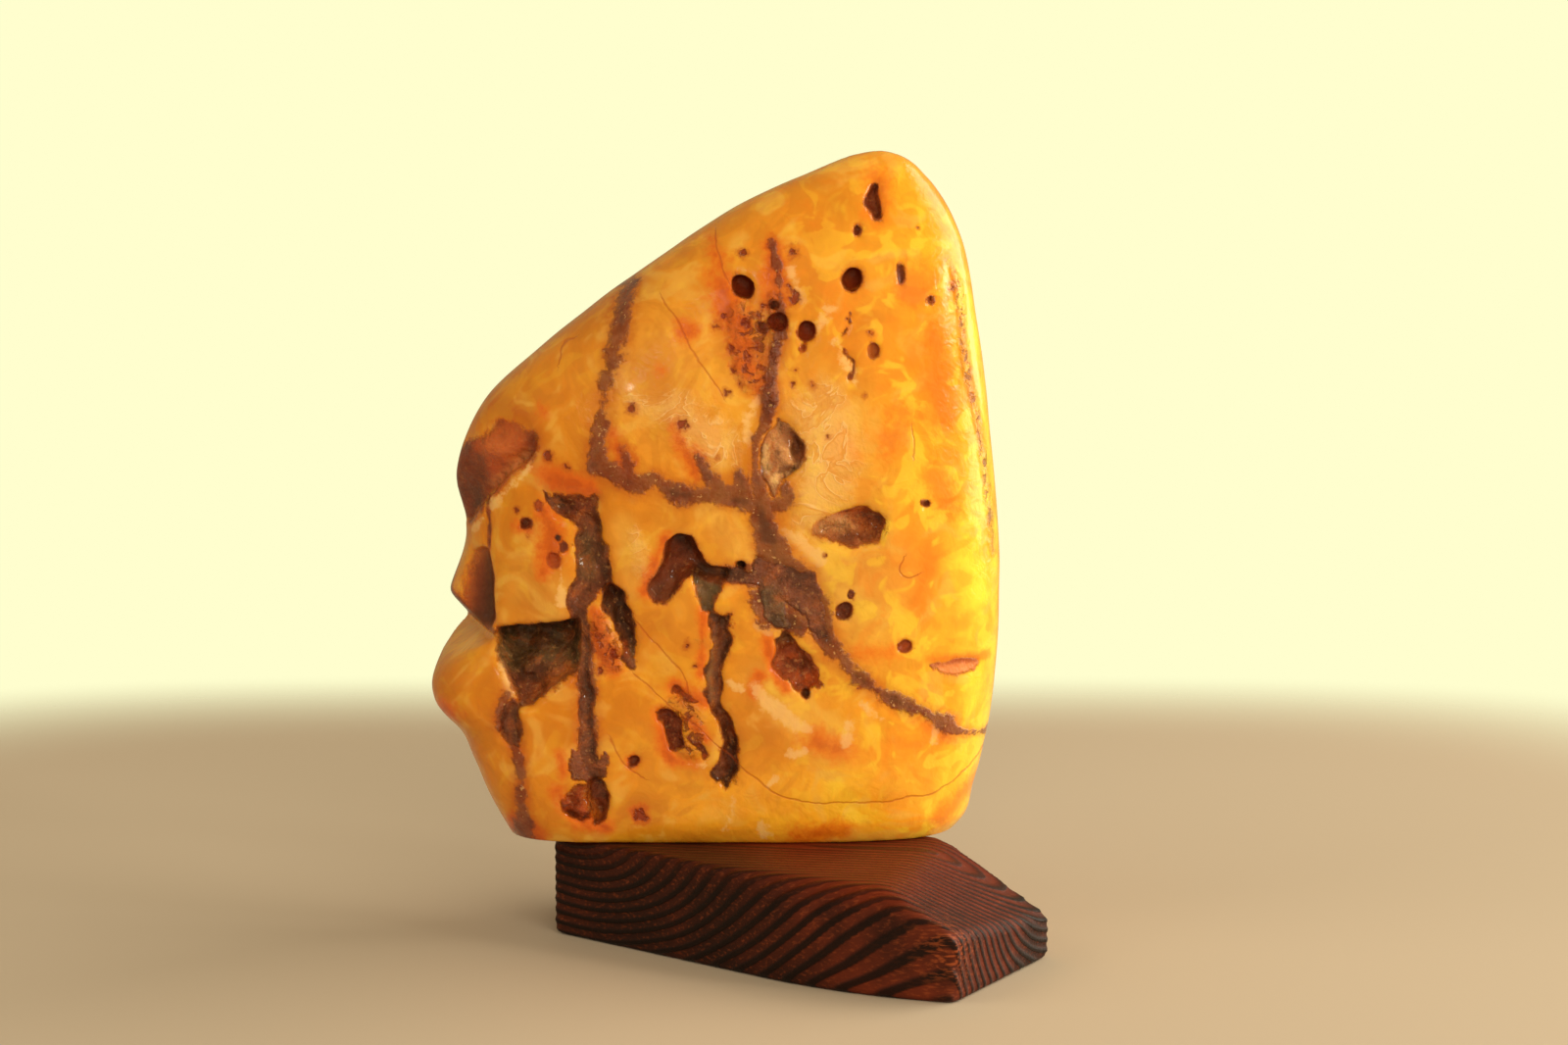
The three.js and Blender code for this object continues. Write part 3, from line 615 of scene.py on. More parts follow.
# Veins of grey-brown crust that lie almost flush
VEINS = (
    (2, ((-25.8, 111.9, 0.1), (-27.1, 108.2, 0.4), (-27.5, 104.8, 0.9), (-27.8, 102.1, 0.9),
         (-28.9, 99, 0.6), (-29.9, 96.1, 0.6), (-30.2, 92.6, 0.2), (-30.6, 89.4, 0.8), (-31, 85.8, 0.8),
         (-31.3, 81.9, 0.4))),
    (1.8, ((-31.5, 82, 1), (-28.6, 80.9, 1.3), (-25.5, 79.2, 1.4), (-23.2, 78.9, 1.1), (-21.5, 80, 0.7),
           (-19, 78, 1), (-16.2, 77.3, 0.7), (-13.5, 77.4, 0.8), (-9.8, 77.6, 1.1), (-7, 76.4, 1.1),
           (-4.3, 75.8, 1.1))),
    (1.5, ((-14.6, 83.6, 0.2), (-13, 81.1, 0.8), (-10.7, 78.3, 1))),
    (1.5, ((-27.2, 85.6, 0.1), (-26.3, 82.3, 0.4), (-25.2, 80, 0.7))),
    (1.2, ((-2, 118.9, 0.1), (-1.1, 114.5, 0.2), (-0.6, 110.5, 0.3), (-0.5, 107.3, 0.4))),
    (1.5, ((-0.6, 104, 0.6), (-1.6, 101.2, 0.2), (-2, 98.8, 0.2), (-2.6, 95.4, 0.9), (-2.5, 92, 0.8),
           (-3.3, 88.6, 0.3), (-4.7, 86.3, 0.2), (-4.9, 81.8, 0.3), (-4.2, 79.6, 0.9), (-3.7, 74.7, 1.6))),
    (1.5, ((-7.5, 80.2, 0.8), (-6.4, 77.6, 1))),
    (1.5, ((0.2, 78.4, 0.6), (1.2, 75.8, 0.8), (-2, 75.4, 1))),
    (1.8, ((-3.7, 74.7, 1.7), (-2.4, 69, 2), (-0.9, 64.8, 2.6), (2, 61.9, 3.2), (4.9, 58.4, 2.4),
           (7.1, 53.6, 1.1), (8.9, 50.6, 0.7), (11.4, 47.3, 0.6), (14.5, 44.9, 0.4), (17.7, 42.9, 0.6),
           (20.9, 40.9, 0.4), (24.1, 39.7, 0.3), (27.3, 37.8, 0.6), (28.4, 36.8, 0.3))),
    (1, ((28.4, 36.8, 0.1), (31, 35.8, 0.1), (36, 34.8, 0.1))),
    (1.7, ((-9, 64, 0.9), (-5, 63.6, 1.2), (-0.8, 62.6, 1.8))),
    (2, ((-4, 60, 0.8), (-3.4, 56, 0.8), (-0.4, 56.8, 1.4), (2.4, 55.4, 1))),
    (1.6, ((-46.8, 43.4, 0.5), (-47.8, 38.6, 0.4), (-45.6, 35, 0.4), (-44.6, 31.6, 0.2), (-44.3, 27, 0.2),
           (-44.4, 23.5, 0.6), (-43.8, 20.4, 1), (-44.6, 17.4, 1.6))),
    (1.8, ((-33.5, 53, 1.1), (-33, 34, 1))),
)
BACK_VEINS = (
    (1.6, ((36, 112, 0.3), (30, 108, 0.7), (24, 99, 1.2), (20, 90, 1))),
    (1.5, ((14, 76, 0.4), (9, 75, 1.6), (4, 72, 0.6), (-3, 69, 2))),
    (1.5, ((-14, 67, 1.4), (-9.5, 76, 0.3), (-8, 84, 1.2), (-11, 91, 0.2), (-12, 98, 1.4),
           (-9.6, 106, 0.2), (-8, 112, 0.8), (-2, 120, 0.1))),
    (1.5, ((-9, 33, 1.2), (-2, 30, 0.2), (5, 30, 0.9), (11, 34, 0.2), (17, 36, 1.4), (24, 34, 0.3),
           (30, 35, 0.8), (36, 34.6, 0.3))),
    (1.4, ((-45, 77, 1), (-52, 74, 0.8), (-56, 72, 0.5))),
    (1.4, ((-38, 52, 1), (-46, 46, 1), (-50, 36, 0.7), (-48, 24, 0.6))),
)

# Shades inside the cuts of the front: tone, strength, softness and path
CRUST_SHADES = (
    (RED_BROWN, 0.9, 3.4, ((-51.6, 63, 0.4), (-51.6, 56, 1.6))),
    (DARK_BROWN, 0.9, 2.4, ((-50, 65, 0.3), (-49.6, 60, 0.5), (-50, 55, 1), (-54, 54, 0.6))),
    (DARK_BROWN, 0.8, 1, ((-47.4, 41, 0.3), (-48, 38.4, 0.3), (-46.4, 35.4, 0.3), (-44.6, 36, 0.3))),
    (BLACK_CRUST, 0.6, 0.7, ((-45.4, 41, 0.3), (-44.8, 37.4, 0.3))),
    (ORANGE_CRUST, 0.5, 3, ((-49, 87, 0.8), (-44, 87, 1))),
    (PINK_CRUST, 0.35, 2.4, ((-50, 84.4, 0.4), (-46.4, 83.4, 1), (-45, 81, 0.6))),
    (RED_BROWN, 0.6, 1.6, ((-42.8, 88, 0.4), (-42.2, 85.4, 0.5), (-43.4, 82.6, 0.4))),
    (RED_BROWN, 0.95, 1.8, ((-56, 83.4, 2.2), (-54.8, 77, 2.8), (-53.6, 71, 2))),
    (DARK_BROWN, 0.7, 1.8, ((-51.8, 82, 0.2), (-51.2, 78, 0.4), (-52, 73, 0.6))),
    # Painted highlight along the ridge below the upper hollow
    (PINK_CRUST, 0.6, 1.2, ((-49.6, 77.6, 0.2), (-46.6, 80.2, 0.4), (-43.4, 83.4, 0.4))),
    (BLACK_CRUST, 0.75, 2.2, ((-47.6, 53.6, 0.4), (-43, 54, 0.6), (-35, 54.8, 0.6))),
    (BLACK_CRUST, 0.5, 2, ((-35.6, 54, 0.6), (-35.4, 49, 0.4))),
    (GREY_BROWN, 0.8, 2, ((-45.6, 50, 0.8), (-40.6, 50.6, 1.4), (-37, 50.6, 0.8))),
    (MAUVE_BROWN, 0.95, 2.4, ((-45.4, 44.6, 1), (-44, 42.4, 1.2), (-41.6, 46, 1.4))),
    (ORANGE_CRUST, 0.7, 2, ((-40.6, 44, 0.6), (-36.6, 46.6, 0.6))),
    (BLACK_CRUST, 0.8, 1.4, ((-39.4, 77, 0.4), (-37, 75.4, 0.8))),
    (RED_BROWN, 0.8, 1.6, ((-36, 73.6, 0.6), (-33, 76, 0.8))),
    (DARK_BROWN, 0.8, 1.2, ((-31.2, 74, 0.6), (-30.2, 68, 0.6), (-30, 63, 0.6))),
    (GREY_BROWN, 0.8, 1.6, ((-33.4, 69, 0.9), (-33.2, 64, 1.2))),
    (MAUVE_BROWN, 0.8, 1.6, ((-33.8, 61, 1), (-34.8, 56, 0.8))),
    (BLACK_CRUST, 0.8, 1, ((-30.8, 61.6, 0.7), (-27.6, 60, 0.7), (-26, 56, 0.5))),
    (RUST, 0.6, 1, ((-27, 51.6, 0.5), (-25.6, 48.4, 0.5))),
    (GREY_BROWN, 0.7, 1, ((-25.2, 52, 0.4), (-25.2, 49, 0.4))),
    (BLACK_CRUST, 0.7, 1, ((-18.4, 70, 0.5), (-15.4, 68.4, 0.7))),
    (BLACK_CRUST, 0.75, 1, ((-14.4, 64.4, 0.7), (-9.6, 63.8, 0.7))),
    (MAUVE_BROWN, 0.9, 1, ((-22, 61, 0.9), (-20.2, 60.4, 0.8), (-18.8, 62.6, 0.4))),
    (GREY_BROWN, 0.7, 1, ((-14, 61.4, 0.6), (-13, 58.4, 0.4))),
    (TAN_CRUST, 0.4, 0.7, ((-11.6, 52.6, 0.4), (-12.4, 46, 0.4), (-11.6, 42.4, 0.4))),
    (MAUVE_BROWN, 0.8, 0.8, ((-10.4, 54, 0.4), (-11.4, 46, 0.5), (-10.8, 38, 0.5), (-10.8, 30, 0.5))),
    (RUST, 0.7, 1, ((-8.8, 41, 0.5), (-8.6, 37, 0.5))),
    (BLACK_CRUST, 0.7, 0.8, ((-8.6, 35, 0.4), (-9, 29, 0.7), (-10.4, 27.6, 0.5))),
    (GREY_BROWN, 0.8, 1.4, ((-1.6, 53, 0.8), (1.2, 53, 0.6))),
    (RED_BROWN, 0.8, 1, ((-0.6, 50.8, 0.6), (2.6, 51, 0.5), (3.6, 48.6, 0.4))),
    (RED_BROWN, 0.6, 0.8, ((1, 48.2, 0.4), (4.6, 47.4, 0.5))),
    (TAN_CRUST, 0.9, 3, ((4.6, 71.8, 1.6), (8.4, 72.4, 1.4))),
    (RUST, 0.8, 1.4, ((9.6, 74.8, 0.4), (13.6, 74.8, 0.5), (16, 73.8, 0.4))),
    (RED_BROWN, 0.7, 1.4, ((12.6, 73.6, 0.4), (15.6, 73, 0.7), (15.8, 70.8, 0.5))),
    (MAUVE_BROWN, 0.6, 1.2, ((8, 70, 0.4), (14, 69.6, 0.6))),
    (TAN_CRUST, 0.6, 0.8, ((9.4, 72.6, 0.2), (12, 71.4, 0.3))),
    (MAUVE_BROWN, 0.6, 1, ((-1.4, 89.8, 0.4), (0.8, 86.6, 0.6))),
    (CREAM, 0.7, 0.8, ((-3.2, 85.6, 0.4), (-3.4, 82.6, 0.5), (-1.4, 79.6, 0.4))),
    (MAUVE_BROWN, 0.6, 0.8, ((-1.2, 85, 0.3), (-1.6, 82, 0.4), (0.6, 81.6, 0.3))),
    (DARK_BROWN, 0.7, 1, ((-32.9, 55, 0.3), (-32.6, 46, 0.3), (-32.3, 34, 0.3))),
    (RED_BROWN, 0.7, 0.8, ((-3.2, 87.2, 0.3), (-4.6, 83, 0.3), (-3, 79.6, 0.3))),
    # A dark red line along the slit's upper edge, painted shadow under it
    (RUST, 0.9, 0.5, ((24.4, 48.3, 0.3), (29, 48.4, 0.35), (33.4, 48.2, 0.3))),
    (ORANGE, 0.6, 0.8, ((-33.6, 26, 0.4), (-31.8, 22.4, 0.5))),
    (BLACK_CRUST, 0.7, 1, ((-31.6, 29.2, 0.6), (-30, 27.4, 0.5))),
)

# Broad shades of the body on the front, some of them painted highlights and glow: tone, strength, softness
# and path
BODY_SHADES = (
    (DEEP_OCHRE, 0.5, 5, ((-58, 44, 2), (-57, 38, 2), (-54, 33, 1))),
    (DEEP_OCHRE, 0.4, 3, ((-49, 52, 0.5), (-50, 44, 1), (-48.6, 36, 1))),
    (RUST, 0.6, 2.4, ((-44.6, 34, 0.3), (-44.3, 28, 0.2), (-44.4, 23, 0.5), (-44, 18.6, 2))),
    (ORANGE_CRUST, 0.5, 5, ((-6.6, 106, 2), (-5.8, 99, 1.4))),
    (MAUVE_BROWN, 0.6, 2.4, ((-2.2, 108.6, 0.6), (-1.8, 104.6, 1.6), (-2, 99, 0.5))),
    (RUST, 0.6, 2, ((-2.6, 96, 1), (-2.8, 91, 0.8))),
    (RUST, 0.6, 3.5, ((-42.4, 82, 0.8), (-40, 79.8, 1.4), (-36, 79.2, 1.4), (-33, 78, 1))),
    (RED_BROWN, 0.5, 1.6, ((-38.6, 78.4, 0.4), (-34.6, 78.2, 0.7), (-31.6, 77, 0.5))),
    (RUST, 0.45, 2.4, ((-49, 90.6, 0.4), (-44, 90.2, 0.6), (-41, 87.4, 0.4), (-40.4, 84, 0.4))),
    (RUST, 0.35, 3, ((-57, 86, 1), (-50, 91, 1), (-44, 91.4, 0.6))),
    (ORANGE, 0.55, 1.2, ((34.4, 72, 0.2), (34.8, 56, 0.3), (34.4, 40, 0.2))),
    (ORANGE, 0.6, 1.4, ((27.8, 115.6, 0.2), (30, 106, 0.3), (31.9, 94, 0.3), (34.4, 79.4, 0.2))),
    (DEEP_OCHRE, 0.5, 3, ((-26, 24, 2), (-21, 24, 1))),
    (DEEP_OCHRE, 0.45, 3, ((-44, 58, 0.6), (-37, 59, 0.8))),
    (DEEP_OCHRE, 0.5, 3, ((-30, 80, 1.5), (-33, 84, 1))),
    (DEEP_OCHRE, 0.5, 3, ((-26.4, 66, 0.6), (-24.6, 60, 0.6))),
    (DEEP_OCHRE, 0.5, 3, ((-34, 42, 0.4), (-35, 36, 0.4))),
    (DEEP_OCHRE, 0.4, 4, ((-8, 38, 0.5), (-4, 34, 2), (-4, 48, 1))),
    (DEEP_OCHRE, 0.4, 5, ((-33, 104, 2), (-24, 111, 1))),
    # Painted highlight on the lit lip of the pocket
    (PALE_BUTTER, 0.6, 2.5, ((-46.4, 49.8, 0.3), (-45.6, 44, 0.4))),
    (CREAM, 0.6, 1.2, ((-46.9, 49.8, 0.3), (-45.5, 43.8, 0.4))),
    (PALE_BUTTER, 0.6, 3, ((-37.6, 61, 0.6), (-37.8, 56.6, 0.6))),
    (PALE_BUTTER, 0.5, 3, ((-57, 62, 0.6), (-55, 66, 0.6))),
    (PALE_BUTTER, 0.5, 3, ((-27, 72, 1), (-25, 62, 1))),
    (PALE_BUTTER, 0.6, 3, ((-12, 74, 1), (-8, 69, 1.4))),
    (PALE_BUTTER, 0.5, 5, ((-4, 46, 1), (8, 34, 1.6))),
    # Painted glow of light through the right rim
    (LEMON, 0.7, 3, ((31, 112, 0.6), (33.6, 96, 1), (34.6, 80, 1))),
    (LEMON, 0.6, 4, ((31, 70, 2), (31, 60, 3), (33, 50, 2), (33, 42, 1))),
    (ORANGE, 0.4, 2.4, ((28, 82, 0.8), (26, 71, 1.4), (23.8, 63.4, 1), (23, 56, 0.6))),
    (ORANGE, 0.35, 6, ((12, 105, 3), (20, 98, 3))),
    # Painted glow on the lower right
    (LEMON, 0.5, 5, ((10, 27, 2.4), (24, 27, 2.4))),
    (DEEP_OCHRE, 0.35, 5, ((-24, 98, 2), (-18, 90, 2))),
    (DEEP_OCHRE, 0.3, 6, ((-38, 50, 1), (-36, 36, 2), (-28, 40, 2))),
)

# Thin healed cracks
CRACKS = (
    ((-25, 47), (-22.4, 44.4), (-18.3, 40.7), (-13.2, 37), (-7.4, 31.1), (-1.8, 26.9), (1.7, 25),
      (9.9, 24.9), (17.7, 25.1), (25.8, 25.5), (30.6, 28.4), (35, 33)),
    ((-24.4, 55.4), (-21, 51.6), (-17, 47.4), (-16, 44)),
    ((-20.4, 109.7), (-17.5, 105.1), (-15.9, 101.9), (-12.1, 96.5), (-10.3, 93.7)),
    ((-11.6, 120.2), (-11, 116.4), (-9.5, 112.8)),
    ((20, 66.4), (19.1, 64.5), (20.6, 62.8), (22.4, 63.6)),
    ((21.5, 88), (21.9, 85.6), (21.7, 83.4)),
    ((-38, 98.5), (-37.5, 101.6), (-35.5, 102.6)),
    ((-29.2, 36), (-27, 31.4), (-23.6, 29.4)),
)
BACK_CRACKS = (
    ((-30, 90), (-24, 83), (-17, 81), (-10, 84), (-5, 86), (1, 93)),
    ((32, 64), (25, 61), (16, 62), (9, 59), (5, 53), (-1, 49), (-5, 41)),
    ((35, 33), (24, 26), (10, 21), (-6, 20)),
    ((-50, 60), (-42, 64), (-36, 70)),
)

# Small dark specks, each x, z and radius
SPECKS = (
    (-36.3, 81.6, 0.5), (-39.6, 83.4, 0.6), (-25.4, 91.5, 0.65), (-17, 88.9, 0.75), (-11.1, 83.7, 0.4),
    (-24.4, 22.7, 0.8), (6.9, 67, 0.3), (22.6, 121.1, 0.3), (28.2, 111.4, 0.5), (13.4, 93.7, 0.4),
    (7.4, 87.1, 0.4), (1.5, 117.5, 0.7), (1.8, 109.8, 0.8), (-3.4, 108.6, 0.6), (-4.1, 107.1, 0.6),
    (-1.8, 108.6, 0.6), (-10.2, 106.8, 0.5), (-11.1, 105.2, 0.6), (-6.5, 105.7, 0.6), (-8.7, 101.5, 0.6),
    (-8.5, 97.9, 0.55), (-5.9, 99.7, 0.6), (1.8, 97.8, 0.5), (1.6, 95.8, 0.5), (4.7, 95.5, 0.6),
    (-9.5, 94.2, 0.6), (14.4, 104.2, 0.4), (10.5, 106.5, 0.3), (-6.8, 117, 0.6), (0.8, 111.6, 0.6),
    (-4.8, 101.8, 0.5), (-7.2, 95.6, 0.5), (-16.2, 52, 0.7), (-15, 48.4, 0.4), (-3, 57.2, 0.5),
    (-28.6, 50.4, 0.7), (-30.8, 47.6, 0.6), (-31.6, 53.6, 0.7), (-27.2, 84.6, 0.5), (-43.2, 69.8, 0.4),
    (-44.9, 74.2, 0.5), (12.6, 44.6, 0.25), (-36.2, 24.4, 0.6), (-34.2, 22.6, 0.6),
)
BACK_SPECKS = (
    (10, 88, 0.6), (16, 96, 0.6), (22, 80, 0.7), (6, 100, 0.6), (-2, 92, 0.7), (-30, 78, 0.8),
    (-18, 66, 0.6), (-36, 44, 0.7), (-26, 62, 0.6), (-6, 58, 0.7), (4, 48, 0.5), (26, 50, 0.7),
    (20, 28, 0.6), (-8, 106, 0.6), (-16, 26, 0.7), (-44, 36, 0.6), (28, 76, 0.5), (10, 116, 0.5),
)

# Rough zones where the skin is pitted all over
ROUGH_ZONES = (
    (2.4, ((-7.4, 108, 0.6), (-6, 104, 3.4), (-5, 97, 2.4))),
    (1.4, ((-1.8, 110, 0.8), (-1.4, 104, 1), (-2.2, 98, 0.6), (-2.6, 92, 1))),
    (1.3, ((27.8, 115.6, 0.1), (29.8, 110.4, 0.4), (30.2, 100, 0.5), (32.6, 89, 0.4), (34.4, 79.4, 0.4),
           (35.4, 66, 0.2))),
    (1.6, ((-32.6, 27, 0.6), (-34.6, 23.6, 1.4))),
    (2, ((-31, 55, 1.4), (-28.6, 49, 1.4))),
    (2, ((-17, 40, 3), (-15.6, 35, 2))),
    (2, ((7, 71, 1.2), (15, 72, 2))),
)
BACK_ROUGH_ZONES = (
    (3, ((14, 92, 4), (15, 80, 4))),
    (3, ((-36, 72, 3), (-22, 70, 3))),
)

# Paint that runs over the sides: its name and a path of x, y, z and half width
SIDE_STROKES = (
    ("vein", ((37.4, 0, 34.6, 0.4), (38, 12, 32, 1), (37.6, 24, 35, 1.3), (34, 33, 34.6, 0.8))),
    ("vein", ((34, 28, 109, 0.5), (35, 18, 100, 0.9), (36.4, 12, 92, 0.6), (37.4, 16, 80, 0.4))),
    ("vein", ((-56, 20, 73, 0.8), (-57, 14, 64, 1.1), (-58, 12, 55, 1))),
    ("vein", ((-26, 8, 112, 0.5), (-28, 16, 111, 0.7), (-24, 24, 112, 0.5))),
    ("orange", ((34, 2, 108, 1.4), (35, 3, 98, 1.4), (36, 2, 88, 1.4), (37, 3, 78, 1))),
    ("orange", ((37, 26, 94, 3), (37, 26, 78, 3))),
    ("orange", ((38.4, 22, 48, 3),)),
    ("orange", ((-57, 24, 66, 4),)),
    ("orange", ((-60, 8, 41, 2.4),)),
    ("orange", ((-20, 24, 118, 2), (-10, 24, 122, 1))),
    ("orange", ((14, 20, 132, 1.6), (9, 20, 130, 1))),
    ("cream", ((37.4, 14, 70, 2.4), (37.8, 20, 62, 1.4))),
    ("cream", ((-45, 18, 98, 2.6),)),
)
SIDE_SOFTNESS = {"vein": 1.4, "orange": 3.0, "cream": 2.0}


# How close the heights are at which the sections are worked out
HEIGHT_STEP = 0.1


def section_table():
    """Middles and half sizes of the sections at close heights, and how fast they change."""
    rows = np.array(NUGGET_SECTIONS, float)
    heights = np.arange(rows[0, 0], rows[-1, 0] + HEIGHT_STEP / 2, HEIGHT_STEP)
    slopes = np.gradient(rows[:, 1:], rows[:, 0], axis=0)
    index = np.clip(np.searchsorted(rows[:, 0], heights) - 1, 0, len(rows) - 2)
    gap = rows[index + 1, 0] - rows[index, 0]
    t = ((heights - rows[index, 0]) / gap)[:, None]
    start, end = rows[index, 1:], rows[index + 1, 1:]
    curve = (start * (2 * t ** 3 - 3 * t ** 2 + 1) + end * (3 * t ** 2 - 2 * t ** 3)
             + slopes[index] * gap[:, None] * (t ** 3 - 2 * t ** 2 + t)
             + slopes[index + 1] * gap[:, None] * (t ** 3 - t ** 2))
    left, right, front, back = curve.T
    sizes = np.stack([(left + right) / 2, (right - left) / 2, (front + back) / 2, (back - front) / 2])
    return heights, sizes, np.gradient(sizes, heights, axis=1)


HEIGHTS, SIZES, SIZE_SLOPES = section_table()


def sizes_at(z):
    """Middle, half width, middle depth and half depth of the section at a height."""
    return [np.interp(z, HEIGHTS, row).astype(np.float32) for row in SIZES]


def squareness(u, v, z):
    """How square the section is in the quarter that a place is in."""
    foot = smooth_step(FOOT_CORNER[1], FOOT_CORNER[0], z)
    front_left = SQUARE_FRONT_LEFT + (SQUARE_FOOT_LEFT - SQUARE_FRONT_LEFT) * foot
    front = np.where(u < 0, front_left, SQUARE_FRONT_RIGHT)
    back = np.where(u < 0, SQUARE_BACK_LEFT, SQUARE_BACK_RIGHT)
    return np.where(v < 0, front, back).astype(np.float32)


def swell(x, y, z):
    """How far the swells lift the skin at a place."""
    return sum(rise * nearness((x, y, z), centre, (spread,) * 3) for centre, spread, rise in SWELLS)


# Past this many half widths from the middle, the front and back skins are taken as flat
SKIN_LIMIT = 0.985


def skin_height(x, z, side):
    """How far back the uncut skin of the front or the back lies."""
    middle, half_width, depth, half_depth = sizes_at(z)
    across = np.clip((x - middle) / half_width, -SKIN_LIMIT, SKIN_LIMIT)
    square = squareness(across, side * np.ones_like(across), z)
    skin = depth + side * half_depth * (1 - np.abs(across) ** square) ** (1 / square)
    return skin + side * swell(x, skin, z)


# Size and height of the soft waves left by hand polishing, and the least steepness to divide by
WAVES = ((15, 0.3), (6, 0.1))
LEAST_STEEPNESS = 1 / 60


def uncut_nugget(x, y, z):
    """Signed distance to the nugget's polished skin before anything is cut out of it."""
    middle, half_width, depth, half_depth = sizes_at(z)
    slopes = [np.interp(z, HEIGHTS, row).astype(np.float32) for row in SIZE_SLOPES]
    u = (x - middle) / half_width
    v = (y - depth) / half_depth
    square = squareness(u, v, z)
    au = np.maximum(np.abs(u), 1e-4)
    av = np.maximum(np.abs(v), 1e-4)
    reach = (au ** square + av ** square) ** (1 / square)
    du = np.sign(u) * (au / reach) ** (square - 1)
    dv = np.sign(v) * (av / reach) ** (square - 1)
    rise_z = -du * (slopes[0] + u * slopes[1]) / half_width - dv * (slopes[2] + v * slopes[3]) / half_depth
    steepness = np.sqrt((du / half_width) ** 2 + (dv / half_depth) ** 2 + rise_z ** 2)
    skin = (reach - 1) / np.maximum(steepness, LEAST_STEEPNESS) - swell(x, y, z)
    for seed, (size, rise) in enumerate(WAVES, WAVE_SEED):
        skin = skin - rise * lattice_noise(x, y, z, size, seed)
    skin = smooth_max(skin, z - NUGGET_TOP + 0.1, 1)
    return smooth_max(skin, STAND_HEIGHT + STAND_GAP - z, FOOT_ROUNDING)


# The least depth and edge rounding of a cut, and the rounding between two flat floors
LEAST_DEPTH = 0.2
LEAST_LIP = 0.3
FLOOR_ROUNDING = 1.0


def cut_depth(cut, x, z, edge, skin):
    """How deep under the skin the floor of a cut lies."""
    if cut.floors:
        levels = [y0 + across * (x - x0) + up * (z - z0) for x0, z0, y0, across, up in cut.floors]
        dish = cut.depth * smooth_step(0, -2 * cut.ramp, edge)
        return np.maximum(smooth_max(*levels, FLOOR_ROUNDING) - skin, dish)
    middle_x = np.mean([corner[0] for corner in cut.shape])
    middle_z = np.mean([corner[1] for corner in cut.shape])
    deep = cut.depth + cut.tilt[0] * (x - middle_x) + cut.tilt[1] * (z - middle_z)
    inside = np.clip(-edge / cut.ramp, 0, 1)
    return np.maximum(deep, LEAST_DEPTH) * (cut.wall + (1 - cut.wall) * np.sqrt(inside * (2 - inside)))


# A cut's floor climbs this steeply outside its own edge, where another cut takes over
WALL_SLOPE = 4
BLEND_SHARPNESS = 1.6
# How wide the bends of a cut's edge and the crumbs on its floor are, and how far the edge bends
BEND_SIZE = 3.6
CRUMB_SIZE = 2.2
BEND_REACH = 0.55
# Distances from a cut and depths count no further than these
FAR_FROM_CUTS = 6
DEEPEST = 12
BLEND_DEPTH = 8


def cut_edge(cut, x, z, shift_x, shift_z):
    """Signed distance to the ragged edge of a cut."""
    place = (x + cut.wander * BEND_REACH * shift_x, z + cut.wander * BEND_REACH * shift_z)
    has_widths = len(cut.shape[0]) == 3
    return (path_distance if has_widths else outline_distance)(place, cut.shape)


def cut_maps(x, z, side):
    """What the cuts on a side make of places in the front view, and how far back the uncut skin lies."""
    flat = 0 * x
    shift_x = crumbled(x, flat, z, BEND_SIZE, SHIFT_SEEDS[0])
    shift_z = crumbled(x, flat + 9, z, BEND_SIZE, SHIFT_SEEDS[1])
    crumbs = crumbled(x, flat, z, CRUMB_SIZE, CRUMB_SEED)
    skin = skin_height(x, z, side)
    nearest = np.full_like(skin, FAR_FROM_CUTS)
    deepest = np.full_like(skin, -FAR_FROM_CUTS)
    weights = 1e-6
    lip = 0
    tone = 0
    cover = np.zeros_like(skin)
    crusty = 0
    for cut in CUTS[side]:
        edge = cut_edge(cut, x, z, shift_x, shift_z)
        depth = cut_depth(cut, x, z, edge, skin)
        painted = smooth_step(cut.soft, -cut.soft, edge) * (0.15 + 0.85 * smooth_step(0, cut.full_at, depth))
        cover = np.maximum(cover, painted)
        depth = depth + cut.crumbs * crumbs * smooth_step(0.4, -0.6, edge)
        depth = depth - WALL_SLOPE * np.maximum(edge, 0)
        weight = np.exp(BLEND_SHARPNESS * np.clip(depth, -DEEPEST, BLEND_DEPTH))
        weights = weights + weight
        lip = lip + weight * cut.lip
        crusty = crusty + weight * min(cut.crumbs, 1)
        tone = tone + weight[..., None] * np.array(cut.tone[:3])
        nearest = np.minimum(nearest, edge)
        deepest = np.maximum(deepest, depth)
    return {
        "edge": nearest,
        "depth": np.clip(deepest, 0, DEEPEST),
        "lip": lip / weights,
        "tone": tone / weights[..., None],
        "cover": cover,
        "crusty": crusty / weights,
        "skin": skin,
    }


# Flat maps of the cuts, at this spacing in the front view
MAP_LOW = (-66.0, 14.0)
MAP_HIGH = (44.0, 138.0)
MAP_STEP = 0.25


def read_map(values, x, z):
    """Value of a flat map at places between its points."""
    across = np.clip((x - MAP_LOW[0]) / MAP_STEP, 0, values.shape[0] - 1.01)
    up = np.clip((z - MAP_LOW[1]) / MAP_STEP, 0, values.shape[1] - 1.01)
    i = across.astype(np.int32)
    k = up.astype(np.int32)
    s = (across - i).astype(np.float32)
    t = (up - k).astype(np.float32)
    near = values[i, k] * (1 - t) + values[i, k + 1] * t
    far = values[i + 1, k] * (1 - t) + values[i + 1, k + 1] * t
    return near * (1 - s) + far * s


def flat_maps(side):
    """The maps of a side's cuts that shape the mesh."""
    across = np.arange(MAP_LOW[0], MAP_HIGH[0], MAP_STEP)[:, None]
    up = np.arange(MAP_LOW[1], MAP_HIGH[1], MAP_STEP)[None, :]
    x, z = np.broadcast_arrays(across, up)
    maps = cut_maps(x, z, side)
    return {name: maps[name].astype(np.float32) for name in ("edge", "depth", "lip", "skin")}


